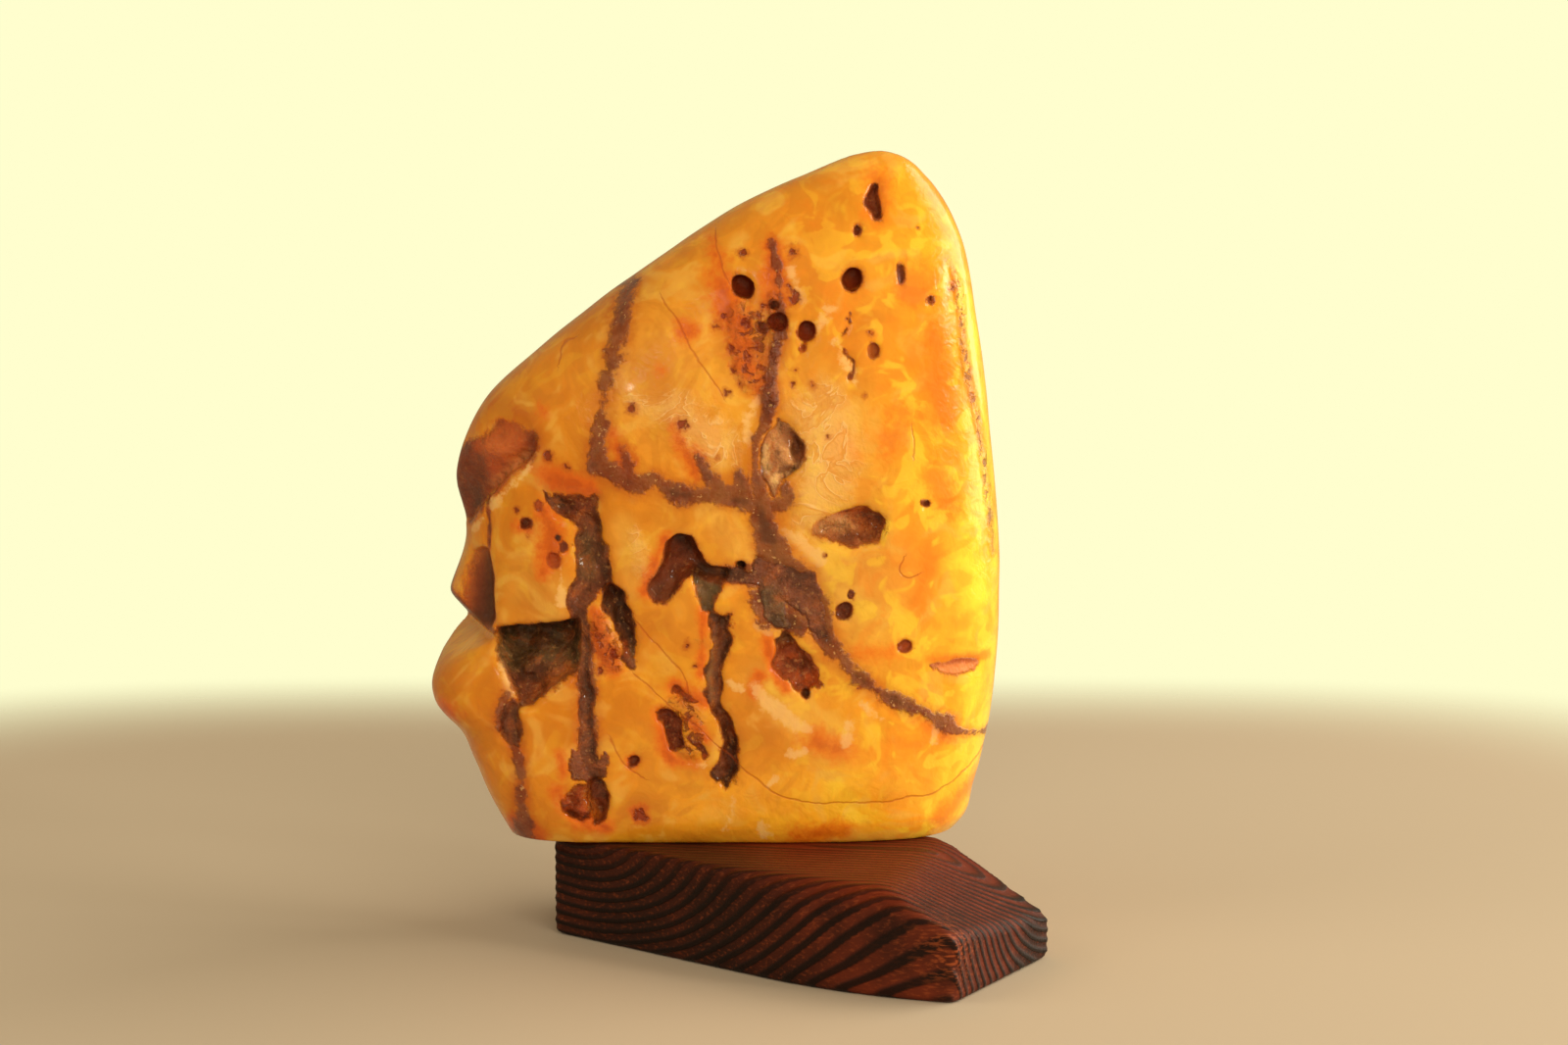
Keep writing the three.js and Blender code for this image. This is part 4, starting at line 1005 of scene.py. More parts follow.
def nugget(x, y, z):
    """Signed distance to the finished nugget."""
    body = uncut_nugget(x, y, z)
    for side in (FRONT, BACK):
        maps = {name: read_map(values, x, z) for name, values in flat_maps(side).items()}
        floor = maps["skin"] - side * maps["depth"]
        cut = np.maximum(maps["edge"], side * (floor - y))
        body = smooth_max(body, -cut, np.maximum(maps["lip"], LEAST_LIP))
    lower = smooth_step(0, -NOTCH_TURN, z - NOTCH_TIP[2])
    rounding = NOTCH_UPPER_ROUNDING + (NOTCH_LOWER_ROUNDING - NOTCH_UPPER_ROUNDING) * lower
    body = smooth_max(body, -notch_distance(x, y, z), rounding)
    broken = SCOOP_RAGGED * crumbled(x, y, z, SCOOP_BUMPS, SCOOP_SEED, 2)
    for _, *ball in SCOOPS:
        body = smooth_max(body, -ball_distance(x, y, z, *ball) - broken, SCOOP_ROUNDING)
    return body


# Paint of the nugget, worked out at its points

# Distances from paint, and depths under the skin, count no further than these
FAR_FROM_STROKES = 4.0
FAR_FROM_SPECKS = 6.0
DEEPLY_SUNK = 9


def stroke_paint(x, z, strokes):
    """Signed distance to the nearest stroke in parts of its softness, negative inside it."""
    nearest = np.full_like(x, FAR_FROM_STROKES)
    for softness, path in strokes:
        nearest = np.minimum(nearest, path_distance((x, z), rounded(path)) / softness)
    return nearest


def speck_paint(x, z, specks):
    """Distance from the nearest speck in parts of its radius."""
    nearest = np.full_like(x, FAR_FROM_SPECKS)
    for cx, cz, radius in specks:
        nearest = np.minimum(nearest, np.hypot(x - cx, z - cz) / radius)
    return nearest


def crack_paint(x, z, cracks):
    """Signed offset from the nearest crack."""
    nearest = np.full_like(x, FAR_FROM_SPECKS)
    for path in cracks:
        nearest = line_offset(x, z, rounded(path), nearest)
    return nearest


# What is painted on the front and on the back, by the name that the material reads
PAINTS = {
    "orange": (stroke_paint, ORANGES, BACK_ORANGES),
    "cream": (stroke_paint, CREAMS, BACK_CREAMS),
    "flake_and_highlight": (stroke_paint, FLAKES_AND_HIGHLIGHTS, BACK_FLAKES),
    "vein": (stroke_paint, VEINS, BACK_VEINS),
    "rough": (stroke_paint, ROUGH_ZONES, BACK_ROUGH_ZONES),
    "crack": (crack_paint, CRACKS, BACK_CRACKS),
    "speck": (speck_paint, SPECKS, BACK_SPECKS),
}


# Where along x the body turns from one tone to the next: start, end and the new tone
# The gold and lemon on the right are partly the amber's own colour and partly painted glow of light through
# the rim.
TONE_STEPS = ((-44, -10, BUTTER), (4, 26, GOLD), (27, 38, LEMON))
# How far and how widely these turns wander, and how much darker the right side is painted towards its back,
# away from the painted glow at its front
TONE_WANDER = 4
TONE_SIZE = 16
RIGHT_SIDE_SHADE = 0.7
# Broad patches of the body's colour, two of them painted light: tone, centre, radii and strength
PATCHES = (
    (OCHRE, (6, 4, 124), (14, 14, 10), 0.5),
    # Painted glow on the lower right of the front
    (GOLD, (16, -3, 25), (20, 9, 9), 0.85),
    (PALE_BUTTER, (-22, -4, 97), (10, 14, 12), 0.4),
    (PALE_BUTTER, (12, -6, 62), (12, 12, 12), 0.8),
    (PALE_BUTTER, (7, -5, 84), (7, 10, 11), 0.8),
    (PALE_BUTTER, (-42, -4, 61), (6, 8, 6), 0.5),
    (PALE_BUTTER, (-18, -5, 66), (5, 8, 8), 0.3),
    (ORANGE, (26, -2, 96), (4.6, 12, 14), 0.5),
    (ORANGE, (23, -5, 42), (6, 8, 4), 0.5),
    (OCHRE, (3, -5, 36), (6, 6, 3), 0.4),
    (OCHRE, (10, -4, 96), (3, 8, 6), 0.35),
    (OCHRE, (-10, -4, 32), (4, 8, 6), 0.25),
    (OCHRE, (-30, 0, 106), (7, 10, 5), 0.4),
    (OCHRE, (-56, 8, 60), (8, 16, 30), 0.5),
    # Painted light on the lower wall of the notch, which lies in shade
    (GOLD, (-54, 10, 50), (7, 20, 3), 0.6),
    (GOLD, (-14, -5, 25), (16, 8, 6), 0.4),
    (PALE_BUTTER, (-10, 36, 80), (14, 10, 12), 0.6),
    (OCHRE, (-30, 36, 40), (16, 12, 14), 0.5),
    (ORANGE, (16, 34, 70), (10, 8, 20), 0.4),
    (GOLD, (0, 36, 30), (16, 10, 10), 0.5),
)


def covered(tone, over, share):
    """The tone with another laid over it, as far as share says."""
    share = share[:, None]
    return tone * (1 - share) + np.array(over[:3]) * share


def shaded(tone, x, z, here, shades):
    """The tone with softly edged shades laid over it, where here is 1."""
    for over, strength, softness, path in shades:
        edge = path_distance((x, z), path)
        tone = covered(tone, over, strength * here * smooth_step(softness, -0.3 * softness, edge))
    return tone


def body_tone(x, y, z):
    """The body's colour: ochre on the left and behind, gold on the right and lemon along the right rim,
    partly painted glow.
    """
    warp = TONE_WANDER * crumbled(x, y, z, TONE_SIZE, TONE_SEED, 2)
    tone = np.broadcast_to(np.array(OCHRE[:3]), (len(x), 3))
    for low, high, over in TONE_STEPS:
        tone = covered(tone, over, smooth_step(low, high, x + warp))
    right_side = smooth_step(20, 34, x) * smooth_step(4, 14, y)
    tone = covered(tone, DEEP_OCHRE, RIGHT_SIDE_SHADE * right_side)
    for over, centre, radii, strength in PATCHES:
        tone = covered(tone, over, strength * nearness((x, y, z), centre, radii))
    return tone


def crust_paint(x, y, z, in_front):
    """Tone of the crust, how far it covers the body and how crumbly it is."""
    tone = 0
    cover = 0
    crusty = 0
    for side, here in ((FRONT, in_front), (BACK, ~in_front)):
        maps = cut_maps(x, z, side)
        cover = cover + maps["cover"] * here
        crusty = crusty + maps["crusty"] * here
        tone = tone + maps["tone"] * here[:, None]
    tone = shaded(tone, x, z, in_front, CRUST_SHADES)
    in_notch = smooth_step(1.6, -0.6, notch_distance(x, y, z))
    # The notch's upper wall is painted red-brown, crust colour that also stands in for the shade under its
    # overhang
    hollows = [(RED_BROWN, in_notch * smooth_step(NOTCH_TIP[2], NOTCH_TIP[2] + 1, z))]
    for scoop_tone, *ball in SCOOPS:
        hollows.append((scoop_tone, smooth_step(0.8, -0.4, ball_distance(x, y, z, *ball))))
    for hollow_tone, painted in hollows:
        tone = np.where((painted > cover)[:, None], np.array(hollow_tone[:3]), tone)
        cover = np.maximum(cover, painted)
    return tone, cover, crusty


def nugget_paint(x, y, z):
    """Numbers and colours for the nugget's points, which its material reads."""
    _, _, depth, _ = sizes_at(z)
    in_front = y < depth
    masks = {}
    for name, (paint, on_front, on_back) in PAINTS.items():
        masks[name] = np.where(in_front, paint(x, z, on_front), paint(x, z, on_back))
    for name, path in SIDE_STROKES:
        masks[name] = np.minimum(masks[name], path_distance((x, y, z), path) / SIDE_SOFTNESS[name])
    crust_tone, masks["cover"], masks["crusty"] = crust_paint(x, y, z, in_front)
    masks["crack_near"] = smooth_step(1.4, 0.8, np.abs(masks["crack"]))
    # How deep under the skin a place lies, which the material uses to paint shade in the deep parts of the
    # crust
    masks["sunk"] = np.clip(-uncut_nugget(x, y, z), 0, DEEPLY_SUNK)
    body_shades = shaded(body_tone(x, y, z), x, z, in_front, BODY_SHADES)
    return masks, {"crust_tone": crust_tone, "body_tone": body_shades}


# The stand: the corners of its plan, which of them is the hollow waist, and how its edges are rounded
STAND_CORNERS = (
    (-40, 4), (-31, -3.5), (-22.5, -11), (-15, -20), (-3.5, -28.3), (17, -39), (27.6, -42), (44.8, -12),
    (28.8, 0.8), (5, 17.5), (-19, 33),
)
WAIST_CORNER = 2
WAIST_ROUNDING = 7.0
EDGE_ROUNDING = 1.6
# A point and the normal of the plane that cuts each of them
END_SLOPE = ((22, -18, 17.5), (0.43, -0.13, 0.89))
FRONT_LEAN = ((6, -30.5, 17.5), (-0.42, -0.78, 0.46))
LEAN_ROUNDING = 3.5
# The top's edge is rounded, and more so near one place on its front
CREST_ROUNDING = 1.2
CREST_EXTRA = 4.5
CREST_PLACE = (6, -32)
CREST_REACH = (14, 10)
# How far apart the rings are, the line of their pith, and how far the soft wood is brushed down
RING_SPACING = 1.73
PITH = ((-42, 2.0, 21.0), (25, -8.0, 18.4), (46, -11.5, 18.0))
RING_RELIEF = 0.2


def plane_distance(x, y, z, point, normal):
    """Distance outside a plane, negative behind it."""
    length = math.sqrt(sum(n * n for n in normal))
    steps = zip((x, y, z), point, normal)
    return sum((value - start) * n for value, start, n in steps) / length


def stand_walls(x, y):
    """Signed distance to the stand's plan, rounded at its corners and hollowed at its waist."""
    sides = []
    for (x0, y0), (x1, y1) in zip(STAND_CORNERS, STAND_CORNERS[1:] + STAND_CORNERS[:1]):
        length = math.hypot(x1 - x0, y1 - y0)
        sides.append(((x - x0) * (y1 - y0) - (y - y0) * (x1 - x0)) / length)
    waist = smooth_min(sides[WAIST_CORNER - 1], sides[WAIST_CORNER], WAIST_ROUNDING)
    walls = smooth_max(sides[0], waist, 0.5)
    for place, wall in enumerate(sides):
        if place not in (0, WAIST_CORNER - 1, WAIST_CORNER):
            walls = smooth_max(walls, wall, EDGE_ROUNDING)
    return walls


def ring_phase(x, y, z):
    """How many rings lie between a place and the pith, which runs along the stand."""
    stations = [p[0] for p in PITH]
    across = y - np.interp(x, stations, [p[1] for p in PITH])
    up = z - np.interp(x, stations, [p[2] for p in PITH])
    radius = np.hypot(across, up) + 0.35 * lattice_noise(x * 0.4, y, z, 7, RING_SEED)
    return radius / RING_SPACING


def late_wood(phase):
    """1 on the hard dark late wood of a ring and 0 on the soft early wood, with a sharp outer side."""
    share = phase - np.floor(phase)
    return smooth_step(0.35, 0.75, share) * smooth_step(1.0, 0.9, share)


def stand(x, y, z):
    """Signed distance to the stand, with its late wood standing a little proud."""
    crest = CREST_ROUNDING + CREST_EXTRA * nearness((x, y), CREST_PLACE, CREST_REACH)
    body = smooth_max(stand_walls(x, y), z - STAND_HEIGHT, crest)
    body = smooth_max(body, plane_distance(x, y, z, *END_SLOPE), EDGE_ROUNDING)
    body = smooth_max(body, plane_distance(x, y, z, *FRONT_LEAN), LEAN_ROUNDING)
    body = smooth_max(body, -z, EDGE_ROUNDING)
    early_wood = 1 - late_wood(ring_phase(x, y, z))
    on_top = smooth_step(STAND_HEIGHT - 1.5, STAND_HEIGHT - 0.3, z)
    on_base = smooth_step(1.2, 0.2, z)
    return body + RING_RELIEF * early_wood * (1 - 0.6 * on_top) * (1 - on_base)


# Meshes

# Distances count no further than this in a grid
GRID_REACH = 3.0


def field_mesh(field, low, high, steps, spread=0.0):
    """Meshes a signed distance field on a grid whose spacing grows away from the front."""
    deep = np.arange(int((high[1] - low[1]) / steps[1]) + 1)
    scale = 1 + spread * deep / len(deep)
    middle = (low[0] + high[0]) / 2
    across = np.arange(int((high[0] - low[0]) / steps[0]) + 1)
    across = across - across.mean()
    up = np.arange(int((high[2] - low[2]) / steps[2]) + 1)
    x = middle + across[:, None, None] * steps[0] * scale[None, :, None]
    y = low[1] + deep[None, :, None] * steps[1]
    z = low[2] + up[None, None, :] * steps[2] * scale[None, :, None]
    values = field(*[places.astype(np.float32) for places in (x, y, z)])
    grid = openvdb.FloatGrid(GRID_REACH)
    grid.copyFromArray(np.clip(values, -GRID_REACH, GRID_REACH).astype(np.float32))
    points, quads = grid.convertToQuads(isovalue=0.0)
    growth = 1 + spread * points[:, 1] / len(deep)
    places = np.stack([
        middle + (points[:, 0] + across[0]) * steps[0] * growth,
        low[1] + points[:, 1] * steps[1],
        low[2] + points[:, 2] * steps[2] * growth,
    ], axis=1)
    return places, quads


def named_mesh(name, places, quads):
    """A smooth object in metres from places in the carver's millimetres."""
    mesh = bpy.data.meshes.new(name)
    moved = (places + np.array(CARVER_ORIGIN)) * MM
    mesh.from_pydata(moved.tolist(), [], quads.tolist())
    mesh.update()
    if mesh.polygons[0].normal.dot(outward_hint(places, quads[0])) < 0:
        mesh.flip_normals()
    mesh.shade_smooth()
    piece = bpy.data.objects.new(name, mesh)
    bpy.context.scene.collection.objects.link(piece)
    return piece


def outward_hint(places, quad):
    """A direction that points from the middle of a piece to one of its faces."""
    return Vector(places[quad].mean(0) - places.mean(0))


def paint_points(piece, masks, tones):
    """Stores numbers and colours on the points of a piece, for its material."""
    for name, values in masks.items():
        layer = piece.data.attributes.new(name, "FLOAT", "POINT")
        layer.data.foreach_set("value", np.asarray(values, np.float32))
    for name, values in tones.items():
        layer = piece.data.attributes.new(name, "FLOAT_COLOR", "POINT")
        solid = np.ones((len(values), 4), np.float32)
        solid[:, :3] = values
        layer.data.foreach_set("color", solid.ravel())


# Materials

class Value:
    """A socket whose sums and products add their own Math nodes."""

    def __init__(self, tree, socket):
        self.tree = tree
        self.socket = socket

    def math(self, operation, *others):
        node = self.tree.nodes.new("ShaderNodeMath")
        node.operation = operation
        for socket, value in zip(node.inputs, (self, *others)):
            connect(self.tree, socket, value)
        return Value(self.tree, node.outputs[0])

    def __add__(self, other):
        return self.math("ADD", other)

    def __sub__(self, other):
        return self.math("SUBTRACT", other)

    def __rsub__(self, other):
        return self.math("MULTIPLY_ADD", -1.0, other)

    def __mul__(self, other):
        return self.math("MULTIPLY", other)

    def __abs__(self):
        return self.math("ABSOLUTE")

    def high(self, other):
        return self.math("MAXIMUM", other)

    def low(self, other):
        return self.math("MINIMUM", other)

    __radd__ = __add__
    __rmul__ = __mul__


def connect(tree, socket, value):
    if isinstance(value, Value):
        tree.links.new(value.socket, socket)
    else:
        socket.default_value = value


# Places of a Mix node's two colours among its inputs, and of the mixed colour among its outputs
MIX_UNDER = 6
MIX_OVER = 7
MIX_RESULT = 2


class Finish:
    """A material with one Principled shader, built from values."""

    def __init__(self, name):
        self.material = bpy.data.materials.new(name)
        self.material.use_nodes = True
        self.tree = self.material.node_tree
        self.tree.nodes.clear()
        output = self.tree.nodes.new("ShaderNodeOutputMaterial")
        self.shader = self.tree.nodes.new("ShaderNodeBsdfPrincipled")
        self.tree.links.new(self.shader.outputs[0], output.inputs["Surface"])
        self.places = self.node("ShaderNodeTexCoord", output="Object")

    def node(self, kind, settings=None, sockets=None, output=0):
        """An output of a new node with the given settings and the given values or links in its sockets."""
        made = self.tree.nodes.new(kind)
        for name, value in (settings or {}).items():
            setattr(made, name, value)
        for name, value in (sockets or {}).items():
            connect(self.tree, made.inputs[name], value)
        return Value(self.tree, made.outputs[output])

    def attribute(self, name, output="Fac"):
        return self.node("ShaderNodeAttribute", {"attribute_name": name}, output=output)

    def axis(self, name):
        """One coordinate of a place on the piece, in metres."""
        return self.node("ShaderNodeSeparateXYZ", sockets={"Vector": self.places}, output=name)

    def noise(self, size, detail=3.0, roughness=0.55, distortion=0.0, shift=(0, 0, 0), stretch=(1, 1, 1)):
        """Noise whose bumps are about size millimetres wide, moved by a shift in metres."""
        moves = {"Vector": self.places, "Location": shift, "Scale": stretch}
        sockets = {
            "Vector": self.node("ShaderNodeMapping", sockets=moves),
            "Scale": 1 / (size * MM),
            "Detail": detail,
            "Roughness": roughness,
            "Distortion": distortion,
        }
        return self.node("ShaderNodeTexNoise", sockets=sockets, output="Fac")

    def between(self, low, high, value):
        """0 below low and 1 above high, smoothly, or the other way round where low is above high."""
        flips = low > high
        sockets = {
            "Value": value,
            "From Min": min(low, high),
            "From Max": max(low, high),
            "To Min": 1.0 if flips else 0.0,
            "To Max": 0.0 if flips else 1.0,
        }
        return self.node("ShaderNodeMapRange", {"interpolation_type": "SMOOTHSTEP"}, sockets)

    def blend(self, share, under, over, mode="MIX"):
        """The colour under, covered by the colour over as far as share says."""
        settings = {"data_type": "RGBA", "blend_type": mode}
        sockets = {"Factor": share, MIX_UNDER: under, MIX_OVER: over}
        return self.node("ShaderNodeMix", settings, sockets, MIX_RESULT)

    def bump(self, height, strength, distance, under=None):
        sockets = {"Height": height, "Strength": strength, "Distance": distance * MM}
        if under is not None:
            sockets["Normal"] = under
        return self.node("ShaderNodeBump", sockets=sockets, output="Normal")

    def set(self, **values):
        """Sets the shader's sockets, whose names have spaces for the underscores here."""
        for name, value in values.items():
            connect(self.tree, self.shader.inputs[name.replace("_", " ")], value)


# Where the right half sets in along X, painted brighter, partly its own colour and partly painted light, and
# where its lit front ends along Y, in metres
RIGHT_HALF = (0.0, 0.034)
LIT_FRONT = (0.018, 0.004)


class Amber(Finish):
    """Milky amber: a marbled body, with stains, veins and crust laid over it one after another."""

    def __init__(self):
        super().__init__("butterscotch_amber")
        self.fine = self.noise(1.1, 4.0, roughness=0.65) - 0.5
        self.coarse = self.noise(4.5, 3.0) - 0.5
        self.ragged = self.coarse + self.fine
        self.patch = self.noise(6.0, 2.0, distortion=0.9, shift=(0.01, 0.05, 0.03))
        self.right = self.between(*RIGHT_HALF, self.axis("X"))
        self.cover = self.attribute("cover")
        self.crusty = self.attribute("crusty")
        self.body = self.attribute("body_tone", "Color")

    def lay(self, share, tone):
        """Covers the body with a tone, as far as share says."""
        self.body = self.blend(share, self.body, tone)

    def marble(self):
        """Clouds of low contrast, some with crisp edges."""
        cloud = self.noise(16.0, 2.0, distortion=0.8, shift=(0.03, 0.01, 0.02))
        swirl = self.noise(9.0, 2.0, distortion=1.4)
        lit = self.right * self.between(*LIT_FRONT, self.axis("Y"))
        self.lay(self.between(0.5, 0.64, cloud) * (0.06 + self.right * 0.34), ORANGE)
        self.lay(self.between(0.52, 0.32, cloud) * (0.4 - self.right * 0.2), DEEP_OCHRE)
        self.lay(self.between(0.5, 0.58, swirl) * (0.26 - self.right * 0.2), DEEP_OCHRE)
        self.lay(self.between(0.48, 0.34, swirl) * 0.45, PALE_BUTTER)
        # Lemon patches on the lit front of the right half: painted glow
        self.lay(self.between(0.52, 0.6, self.patch) * (0.1 + lit * 0.4), LEMON)
        self.lay(self.between(0.46, 0.36, self.patch) * (0.06 + self.right * 0.2), ORANGE)
        self.lay(self.between(0.46, 0.64, self.coarse + 0.5) * 0.12, DEEP_OCHRE)

    def add_creams(self):
        """Pale zones, with fine light and dark wrinkles among them."""
        self.in_cream = self.between(0.6, -0.4, self.attribute("cream") + self.coarse * 1.6 + self.fine)
        self.fold = self.noise(9.0, 2.5, distortion=2.4)
        self.wrinkle = self.between(0.03, 0.0, abs(self.fold - 0.5))
        hollow = self.between(0.5, 0.53, self.fold) * self.between(0.62, 0.54, self.fold)
        self.lay(self.in_cream * 0.35, CREAM)
        self.lay(hollow * self.in_cream * 0.5, OCHRE)
        self.lay(self.wrinkle * self.in_cream * 0.8, CREAM)

    def add_stains(self):
        """Orange stains that are red at their hearts; some of them are painted glow along the left edges of
        cuts.
        """
        orange = self.attribute("orange") + self.coarse * 1.8 + self.fine * 1.5
        stain = self.blend(self.right, STAIN_AND_GLOW, ORANGE)
        self.lay(self.between(0.9, -0.3, orange) * (0.85 - self.right * 0.2), stain)
        self.lay(self.between(0.1, -0.8, orange) * (0.6 - self.right * 0.4), RUST)

    def add_flakes(self):
        """Cream flakes and painted highlights on ridges, and the rims of the cuts, stained and partly painted
        glow.
        """
        flake_and_highlight = self.attribute("flake_and_highlight") + self.coarse * 2.8 + self.fine * 2.4
        self.lay(self.between(0.5, -0.3, flake_and_highlight) * 0.6, CREAM)
        # The rims of the cuts: a patchy orange that is partly painted glow, and a rusty stain
        rim_stain_and_glow = self.between(0.02, 0.6, self.cover + self.ragged * 0.5)
        self.lay(rim_stain_and_glow * self.between(0.42, 0.58, self.patch) * 0.7, STAIN_AND_GLOW)
        self.lay(rim_stain_and_glow * 0.45, RUST)

    def add_rough_zones(self):
        """Zones that are pitted all over, with dirt in their pits."""
        self.rough = self.between(0.6, -0.4, self.attribute("rough") + self.coarse)
        pits = self.noise(1.7, 4.0, distortion=0.6, shift=(0.011, 0, 0.017))
        self.pitted = self.between(0.52, 0.6, pits) * self.rough
        dirt = self.between(0.5, 0.62, self.noise(0.8, 3.0, shift=(0.02, 0.01, 0)))
        self.lay(self.rough * self.between(0.42, 0.56, self.coarse + 0.5) * 0.4, ORANGE_CRUST)
        self.lay(dirt * self.rough * 0.3, RED_BROWN)
        self.lay(self.pitted * 0.75, RED_BROWN)

    def add_veins(self):
        """Veins of brown crust with dark stretches and pale grit, inside a rusty edge."""
        vein = self.attribute("vein") + self.coarse * 1.9 + self.fine * 1.3
        self.in_vein = self.between(0.5, 0.0, vein)
        mottle = self.between(0.42, 0.6, self.noise(2.6, 4.0, roughness=0.65))
        dark = self.between(0.46, 0.58, self.noise(7.0, 2.0, shift=(0.04, 0, 0.02)))
        grit = self.between(0.64, 0.7, self.noise(0.9, 3.0, shift=(0.03, 0.03, 0.01)))
        tone = self.blend(mottle, MAUVE_BROWN, RED_BROWN)
        tone = self.blend(self.between(0.0, -0.7, vein) * (0.25 + dark * 0.5), tone, DARK_BROWN)
        tone = self.blend(grit * 0.5, tone, CREAM)
        self.lay(self.between(1.4, 0.2, vein) * 0.45, RUST)
        self.lay(self.in_vein * (0.82 + dark * 0.12), tone)

    def add_specks(self):
        """Ragged dark specks with a rusty edge."""
        speck = self.attribute("speck") + self.coarse * 3.0 + self.fine * 3.6
        self.in_speck = self.between(1.1, 0.4, speck)
        self.lay(self.between(2.4, 0.8, speck) * 0.6, RUST)
        self.lay(self.in_speck * 0.85, BORE_RED)

    def crust_tone(self):
        """The colour of the crust, mottled, and painted darker the deeper it lies, as painted shade."""
        mottle = self.noise(3.6, 4.0, roughness=0.6, distortion=0.5, shift=(0.02, 0.02, 0))
        smudge = self.noise(5.5, 3.0, shift=(0.05, 0.02, 0.01))
        grain = self.noise(0.9, 3.0, roughness=0.6, shift=(0.01, 0, 0.03))
        # Painted shade: the crust is darkened towards black the deeper it lies under the skin
        deep = self.between(4.5, 9.0, self.attribute("sunk") + self.ragged * 2)
        tone = self.attribute("crust_tone", "Color")
        tone = self.blend(self.between(0.5, 0.62, smudge) * self.crusty * 0.5, tone, MAUVE_BROWN)
        tone = self.blend(self.between(0.5, 0.38, smudge) * self.crusty * 0.4, tone, RED_BROWN)
        sooty = self.blend(1.0, tone, SOOT, "MULTIPLY")
        tone = self.blend(self.between(0.52, 0.38, mottle) * (0.2 + self.crusty * 0.55), tone, sooty)
        tone = self.blend(self.between(0.53, 0.64, mottle) * self.crusty * 0.45, tone, ORANGE_CRUST)
        tone = self.blend(self.between(0.58, 0.68, grain) * self.crusty * 0.3, tone, TAN_CRUST)
        return self.blend(deep * self.crusty * 0.5, tone, BLACK_CRUST)

    def add_crust(self):
        """The crust inside the cuts, with a ragged edge."""
        self.in_crust = self.between(0.22, 0.78, self.cover + self.coarse * 0.7 + self.fine * 0.9)
        self.lay(self.in_crust * 0.97, self.crust_tone())

    def add_cracks(self):
        """Thin rusty lines."""
        line = self.between(0.26, 0.04, abs(self.attribute("crack") + self.coarse * 1.5))
        self.in_crack = line * self.attribute("crack_near")
        self.lay(self.in_crack * 0.5, RUST)

    def relief(self):
        """Ripples in the polish, wrinkles in the creams, and crumbs on the crust and in the veins."""
        ripple = self.noise(2.8, 2.0, distortion=1.0)
        waves = self.noise(1.7, 3.0, distortion=1.2, shift=(0.02, 0, 0.03))
        folds = (self.fold + self.wrinkle * 0.8) * self.in_cream * 2.0
        polish = self.bump(ripple + waves * (0.3 + self.in_cream) + folds, 0.35, 0.5)
        crumbs = self.noise(1.0, 5.0, roughness=0.7)
        lumps = self.noise(2.6, 3.0, roughness=0.6, shift=(0, 0.03, 0.01))
        crumbly = self.in_crust * (0.15 + self.crusty * 0.85) + self.rough * 0.5 + self.in_vein * 0.4
        height = (crumbs * 0.7 + lumps * 2.4) * crumbly - self.in_crack * 0.1
        height = height - self.pitted * 0.6 - self.in_speck * 0.7 - self.in_vein * 0.3
        return self.bump(height, 1.0, 0.8, polish)


def amber_finish():
    amber = Amber()
    amber.marble()
    amber.add_creams()
    amber.add_stains()
    amber.add_flakes()
    amber.add_rough_zones()
    amber.add_veins()
    amber.add_specks()
    amber.add_crust()
    amber.add_cracks()
    amber.set(
        Base_Color=amber.body,
        Roughness=0.24 + amber.in_crust * 0.22,
        Coat_Weight=0.12 + amber.in_crust * 0.3 + amber.in_vein * 0.4 + amber.in_cream * 0.4,
        Coat_Roughness=0.1,
        Subsurface_Weight=0.35,
        Subsurface_Radius=(5.0, 2.0, 0.5),
        Subsurface_Scale=1.0 * MM,
        IOR=1.5,
        Specular_IOR_Level=0.4,
        Normal=amber.relief(),
    )
    return amber.material


# Tones of the stained wood
EARLY_WOOD = colour(102, 38, 18)
EARLY_WOOD_DARK = colour(42, 17, 10)
TOP_WOOD = colour(108, 36, 12)
LATE_WOOD = colour(18, 8, 6)
WOOD_WEAR = colour(176, 84, 40)


def wood_finish():
    f = Finish("stained_wood")
    phase = f.attribute("ring")
    share = phase.math("FRACT")
    fibre = f.noise(0.5, 4.0, stretch=(0.06, 1, 1))
    late = f.between(0.38, 0.72, share + (fibre - 0.5) * 0.12) * f.between(1.0, 0.92, share)
    patch = f.noise(14.0, 3.0)
    shade = f.attribute("shade")
    on_top = f.attribute("on_top")
    body = f.blend(f.between(0.35, 0.7, patch), EARLY_WOOD_DARK, EARLY_WOOD)
    body = f.blend(on_top * 0.8, body, TOP_WOOD)
    # Painted shade on the left part of the walls
    body = f.blend(shade, body, EARLY_WOOD_DARK)
    body = f.blend(f.between(0.5, 0.75, fibre) * 0.25, body, WOOD_WEAR)
    body = f.blend(late * (0.92 - on_top * 0.3), body, LATE_WOOD)
    body = f.blend(f.attribute("worn") * f.between(0.45, 0.65, fibre) * 0.6, body, WOOD_WEAR)
    normal = f.bump(fibre * 0.5 + late * 0.9, 0.6, 0.3)
    f.set(
        Base_Color=body,
        Roughness=0.5 - late * 0.08 + fibre * 0.1,
        Specular_IOR_Level=0.18,
        Normal=normal,
    )
    return f.material


# Pieces

# Corners of the boxes that the pieces are meshed in, and the grids' steps across, into and up
NUGGET_REACH = ((-64, -9, STAND_HEIGHT - 2), (41, 42, NUGGET_TOP + 2))
NUGGET_STEPS = (0.468, 0.63, 0.468)
STAND_REACH = ((-43, -45, -2), (48, 36, STAND_HEIGHT + 2))
STAND_STEPS = (0.42, 0.42, 0.42)
# How much wider the nugget's grid gets towards its back
NUGGET_SPREAD = 0.9
# The stand's front corner, where the stain is worn through, and how far that reaches
WORN_CORNER = (27.6, -40, 9)
WORN_REACH = (5, 5, 6)
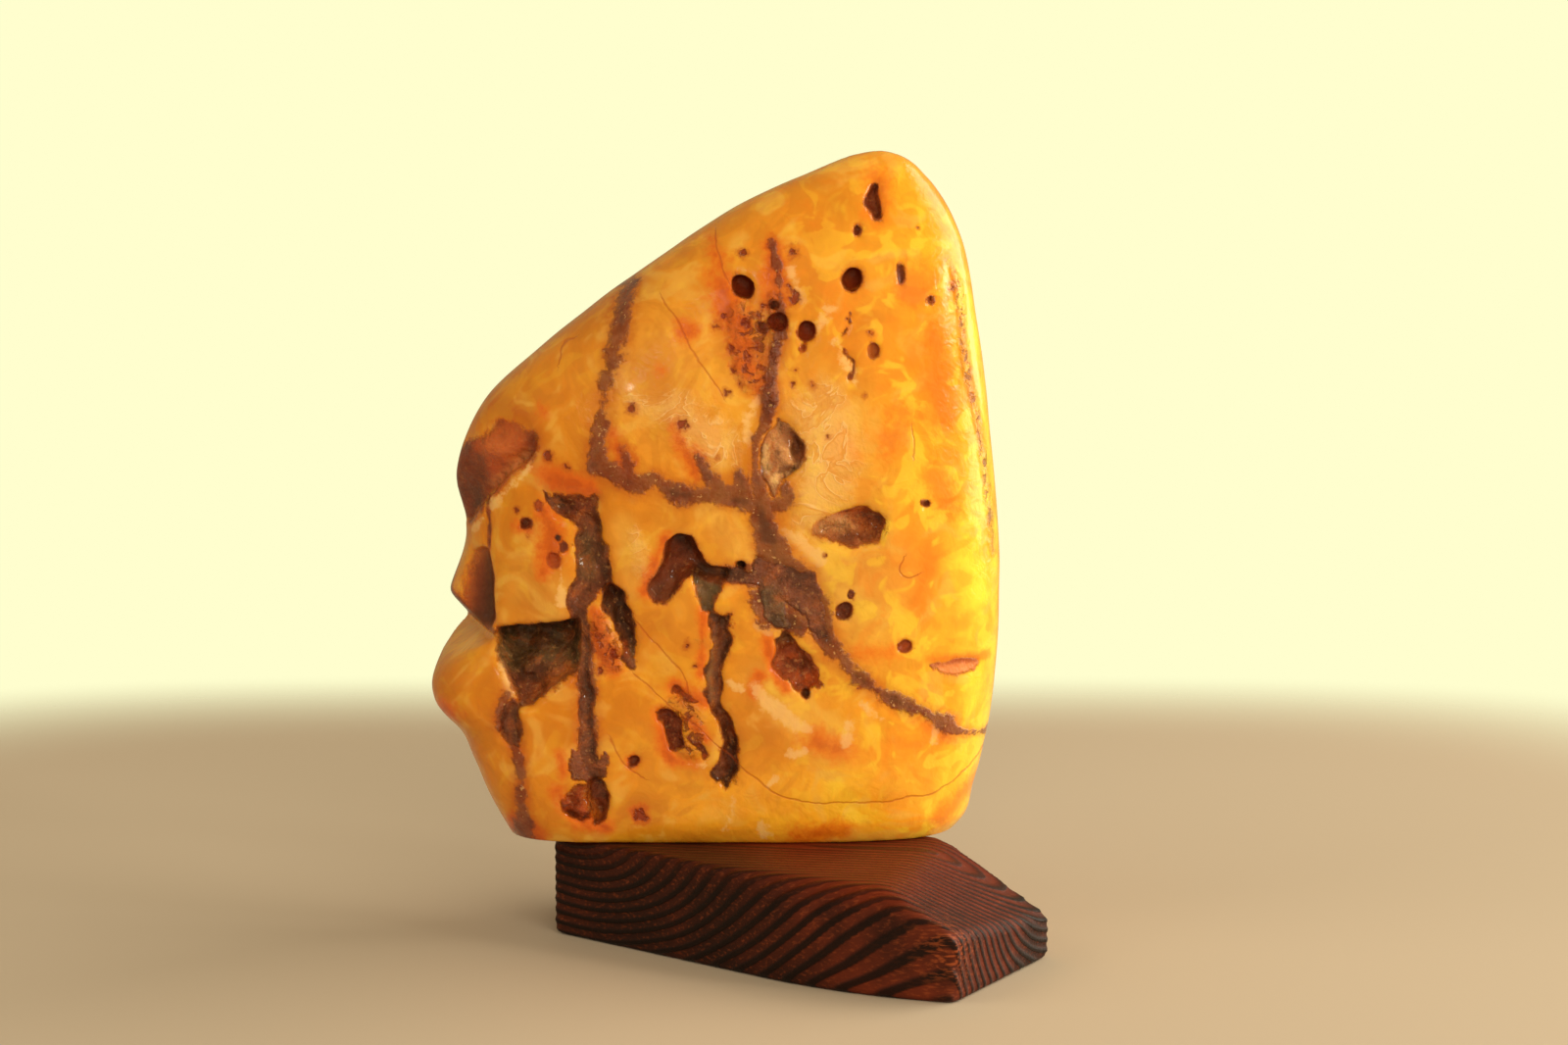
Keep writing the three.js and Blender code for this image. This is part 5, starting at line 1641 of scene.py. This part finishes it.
# From here the stand's top slopes down to its right end
SLOPE_START = 22


def stand_paint(x, y, z):
    """Numbers for the stand's points, which its material reads."""
    # The left part of the stand's walls is painted darker: painted shade
    left = smooth_step(-4, -20, x + 0.5 * y) * smooth_step(20, 8, y)
    level = z + 0.2 * np.maximum(x - SLOPE_START, 0)
    return {
        "ring": ring_phase(x, y, z),
        "shade": 0.75 * left,
        "on_top": smooth_step(STAND_HEIGHT - 5, STAND_HEIGHT - 0.5, level),
        "worn": nearness((x, y, z), WORN_CORNER, WORN_REACH),
    }


def make_nugget():
    places, quads = field_mesh(nugget, *NUGGET_REACH, NUGGET_STEPS, NUGGET_SPREAD)
    piece = named_mesh("amber", places, quads)
    paint_points(piece, *nugget_paint(*places.T.astype(np.float32)))
    piece.data.materials.append(amber_finish())
    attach(piece, "root")
    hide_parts("amber_nugget")


def make_stand():
    places, quads = field_mesh(stand, *STAND_REACH, STAND_STEPS)
    piece = named_mesh("stand", places, quads)
    paint_points(piece, stand_paint(*places.T), {})
    piece.data.materials.append(wood_finish())
    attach(piece, "root")
    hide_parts("wooden_stand")


# Stage, light and camera, in metres
FLOOR_TONE = colour(190, 172, 148)
FLOOR_SIZE = 0.7
# The floor is solid up to the first distance from the middle, and gone from the second
FLOOR_NEAR = 0.17
FLOOR_FAR = 0.25
BACKGROUND = colour(255, 254, 206)
BACKGROUND_STRENGTH = 1.0
SURROUND = colour(255, 236, 186)
SURROUND_STRENGTH = 0.32
CAMERA_REACH = 20


@dataclass
class Lamp:
    """A soft box, aimed at a target."""
    place: tuple
    target: tuple
    size: tuple
    power: float
    tone: tuple
    diffuse: bool = True
    glossy: bool = True


LAMPS = {
    "window": Lamp((0.75, 0.2, 0.45), (0, 0, 0.08), (0.8, 1.0), 9.8, (1.0, 0.92, 0.76)),
    "front_fill": Lamp((0.25, -0.8, 0.45), (0, 0, 0.06), (0.6, 0.6), 4.5, (1.0, 0.91, 0.78), glossy=False),
    "left_fill": Lamp((-0.8, -0.25, 0.5), (-0.03, 0, 0.06), (0.6, 0.6), 2.4, (1.0, 0.92, 0.8), glossy=False),
    "low_fill": Lamp((0.5, -0.45, 0.06), (0.02, 0, 0.02), (0.3, 0.3), 0.95, (1.0, 0.88, 0.7), glossy=False),
    "glints": Lamp((-0.3, -0.75, 0.5), (0, 0, 0.07), (0.05, 0.05), 0.2, (1.0, 0.97, 0.9), diffuse=False),
    "sparkle": Lamp((0.85, -0.35, 0.4), (0, 0, 0.08), (0.14, 0.14), 1.6, (1.0, 0.93, 0.8)),
}


def make_floor():
    """A plain floor that fades into the background, as a rounded square round the object."""
    bpy.ops.mesh.primitive_plane_add(size=FLOOR_SIZE, location=(0, 0, 0))
    floor = bpy.context.object
    floor.name = "floor"
    f = Finish("floor_tone")
    fourth = sum(f.axis(name).math("POWER", 4.0) for name in ("X", "Y"))
    solid = f.between(FLOOR_FAR ** 4, FLOOR_NEAR ** 4, fourth)
    f.set(Base_Color=FLOOR_TONE, Roughness=0.7, Alpha=solid)
    floor.data.materials.append(f.material)


def make_world():
    """A pale background for the camera, and an even, dimmer light all round for everything else."""
    world = bpy.data.worlds.new("studio")
    world.use_nodes = True
    tree = world.node_tree
    shown = tree.nodes["Background"]
    lit = tree.nodes.new("ShaderNodeBackground")
    tones = ((shown, BACKGROUND, BACKGROUND_STRENGTH), (lit, SURROUND, SURROUND_STRENGTH))
    for node, tone, strength in tones:
        node.inputs["Color"].default_value = tone
        node.inputs["Strength"].default_value = strength
    ray = tree.nodes.new("ShaderNodeLightPath")
    pick = tree.nodes.new("ShaderNodeMixShader")
    tree.links.new(ray.outputs["Is Camera Ray"], pick.inputs["Fac"])
    tree.links.new(lit.outputs[0], pick.inputs[1])
    tree.links.new(shown.outputs[0], pick.inputs[2])
    tree.links.new(pick.outputs[0], tree.nodes["World Output"].inputs["Surface"])
    bpy.context.scene.world = world


def make_light(name, lamp):
    """A rectangular area light for a lamp."""
    light = bpy.data.lights.new(name, "AREA")
    light.shape = "RECTANGLE"
    light.size, light.size_y = lamp.size
    light.energy = lamp.power
    light.color = lamp.tone
    holder = bpy.data.objects.new(name, light)
    holder.location = lamp.place
    aim = Vector(lamp.target) - Vector(lamp.place)
    holder.rotation_euler = aim.to_track_quat("-Z", "Y").to_euler()
    holder.visible_diffuse = lamp.diffuse
    holder.visible_glossy = lamp.glossy
    bpy.context.scene.collection.objects.link(holder)


def make_camera():
    """The photograph's camera."""
    camera = bpy.data.cameras.new("camera")
    camera.sensor_width = SENSOR_WIDTH
    camera.lens = FOCAL_PIXELS / FRAME_WIDTH * SENSOR_WIDTH
    camera.clip_end = CAMERA_REACH
    holder = bpy.data.objects.new("camera", camera)
    holder.location = [(a + b) * MM for a, b in zip(CAMERA_PLACE, CARVER_ORIGIN)]
    holder.rotation_euler = (math.pi / 2 - CAMERA_DIP, 0, 0)
    bpy.context.scene.collection.objects.link(holder)
    bpy.context.scene.camera = holder


make_camera()
make_floor()
make_world()
for name, lamp in LAMPS.items():
    make_light(name, lamp)
bpy.context.scene.view_settings.view_transform = "Standard"
make_nugget()
make_stand()
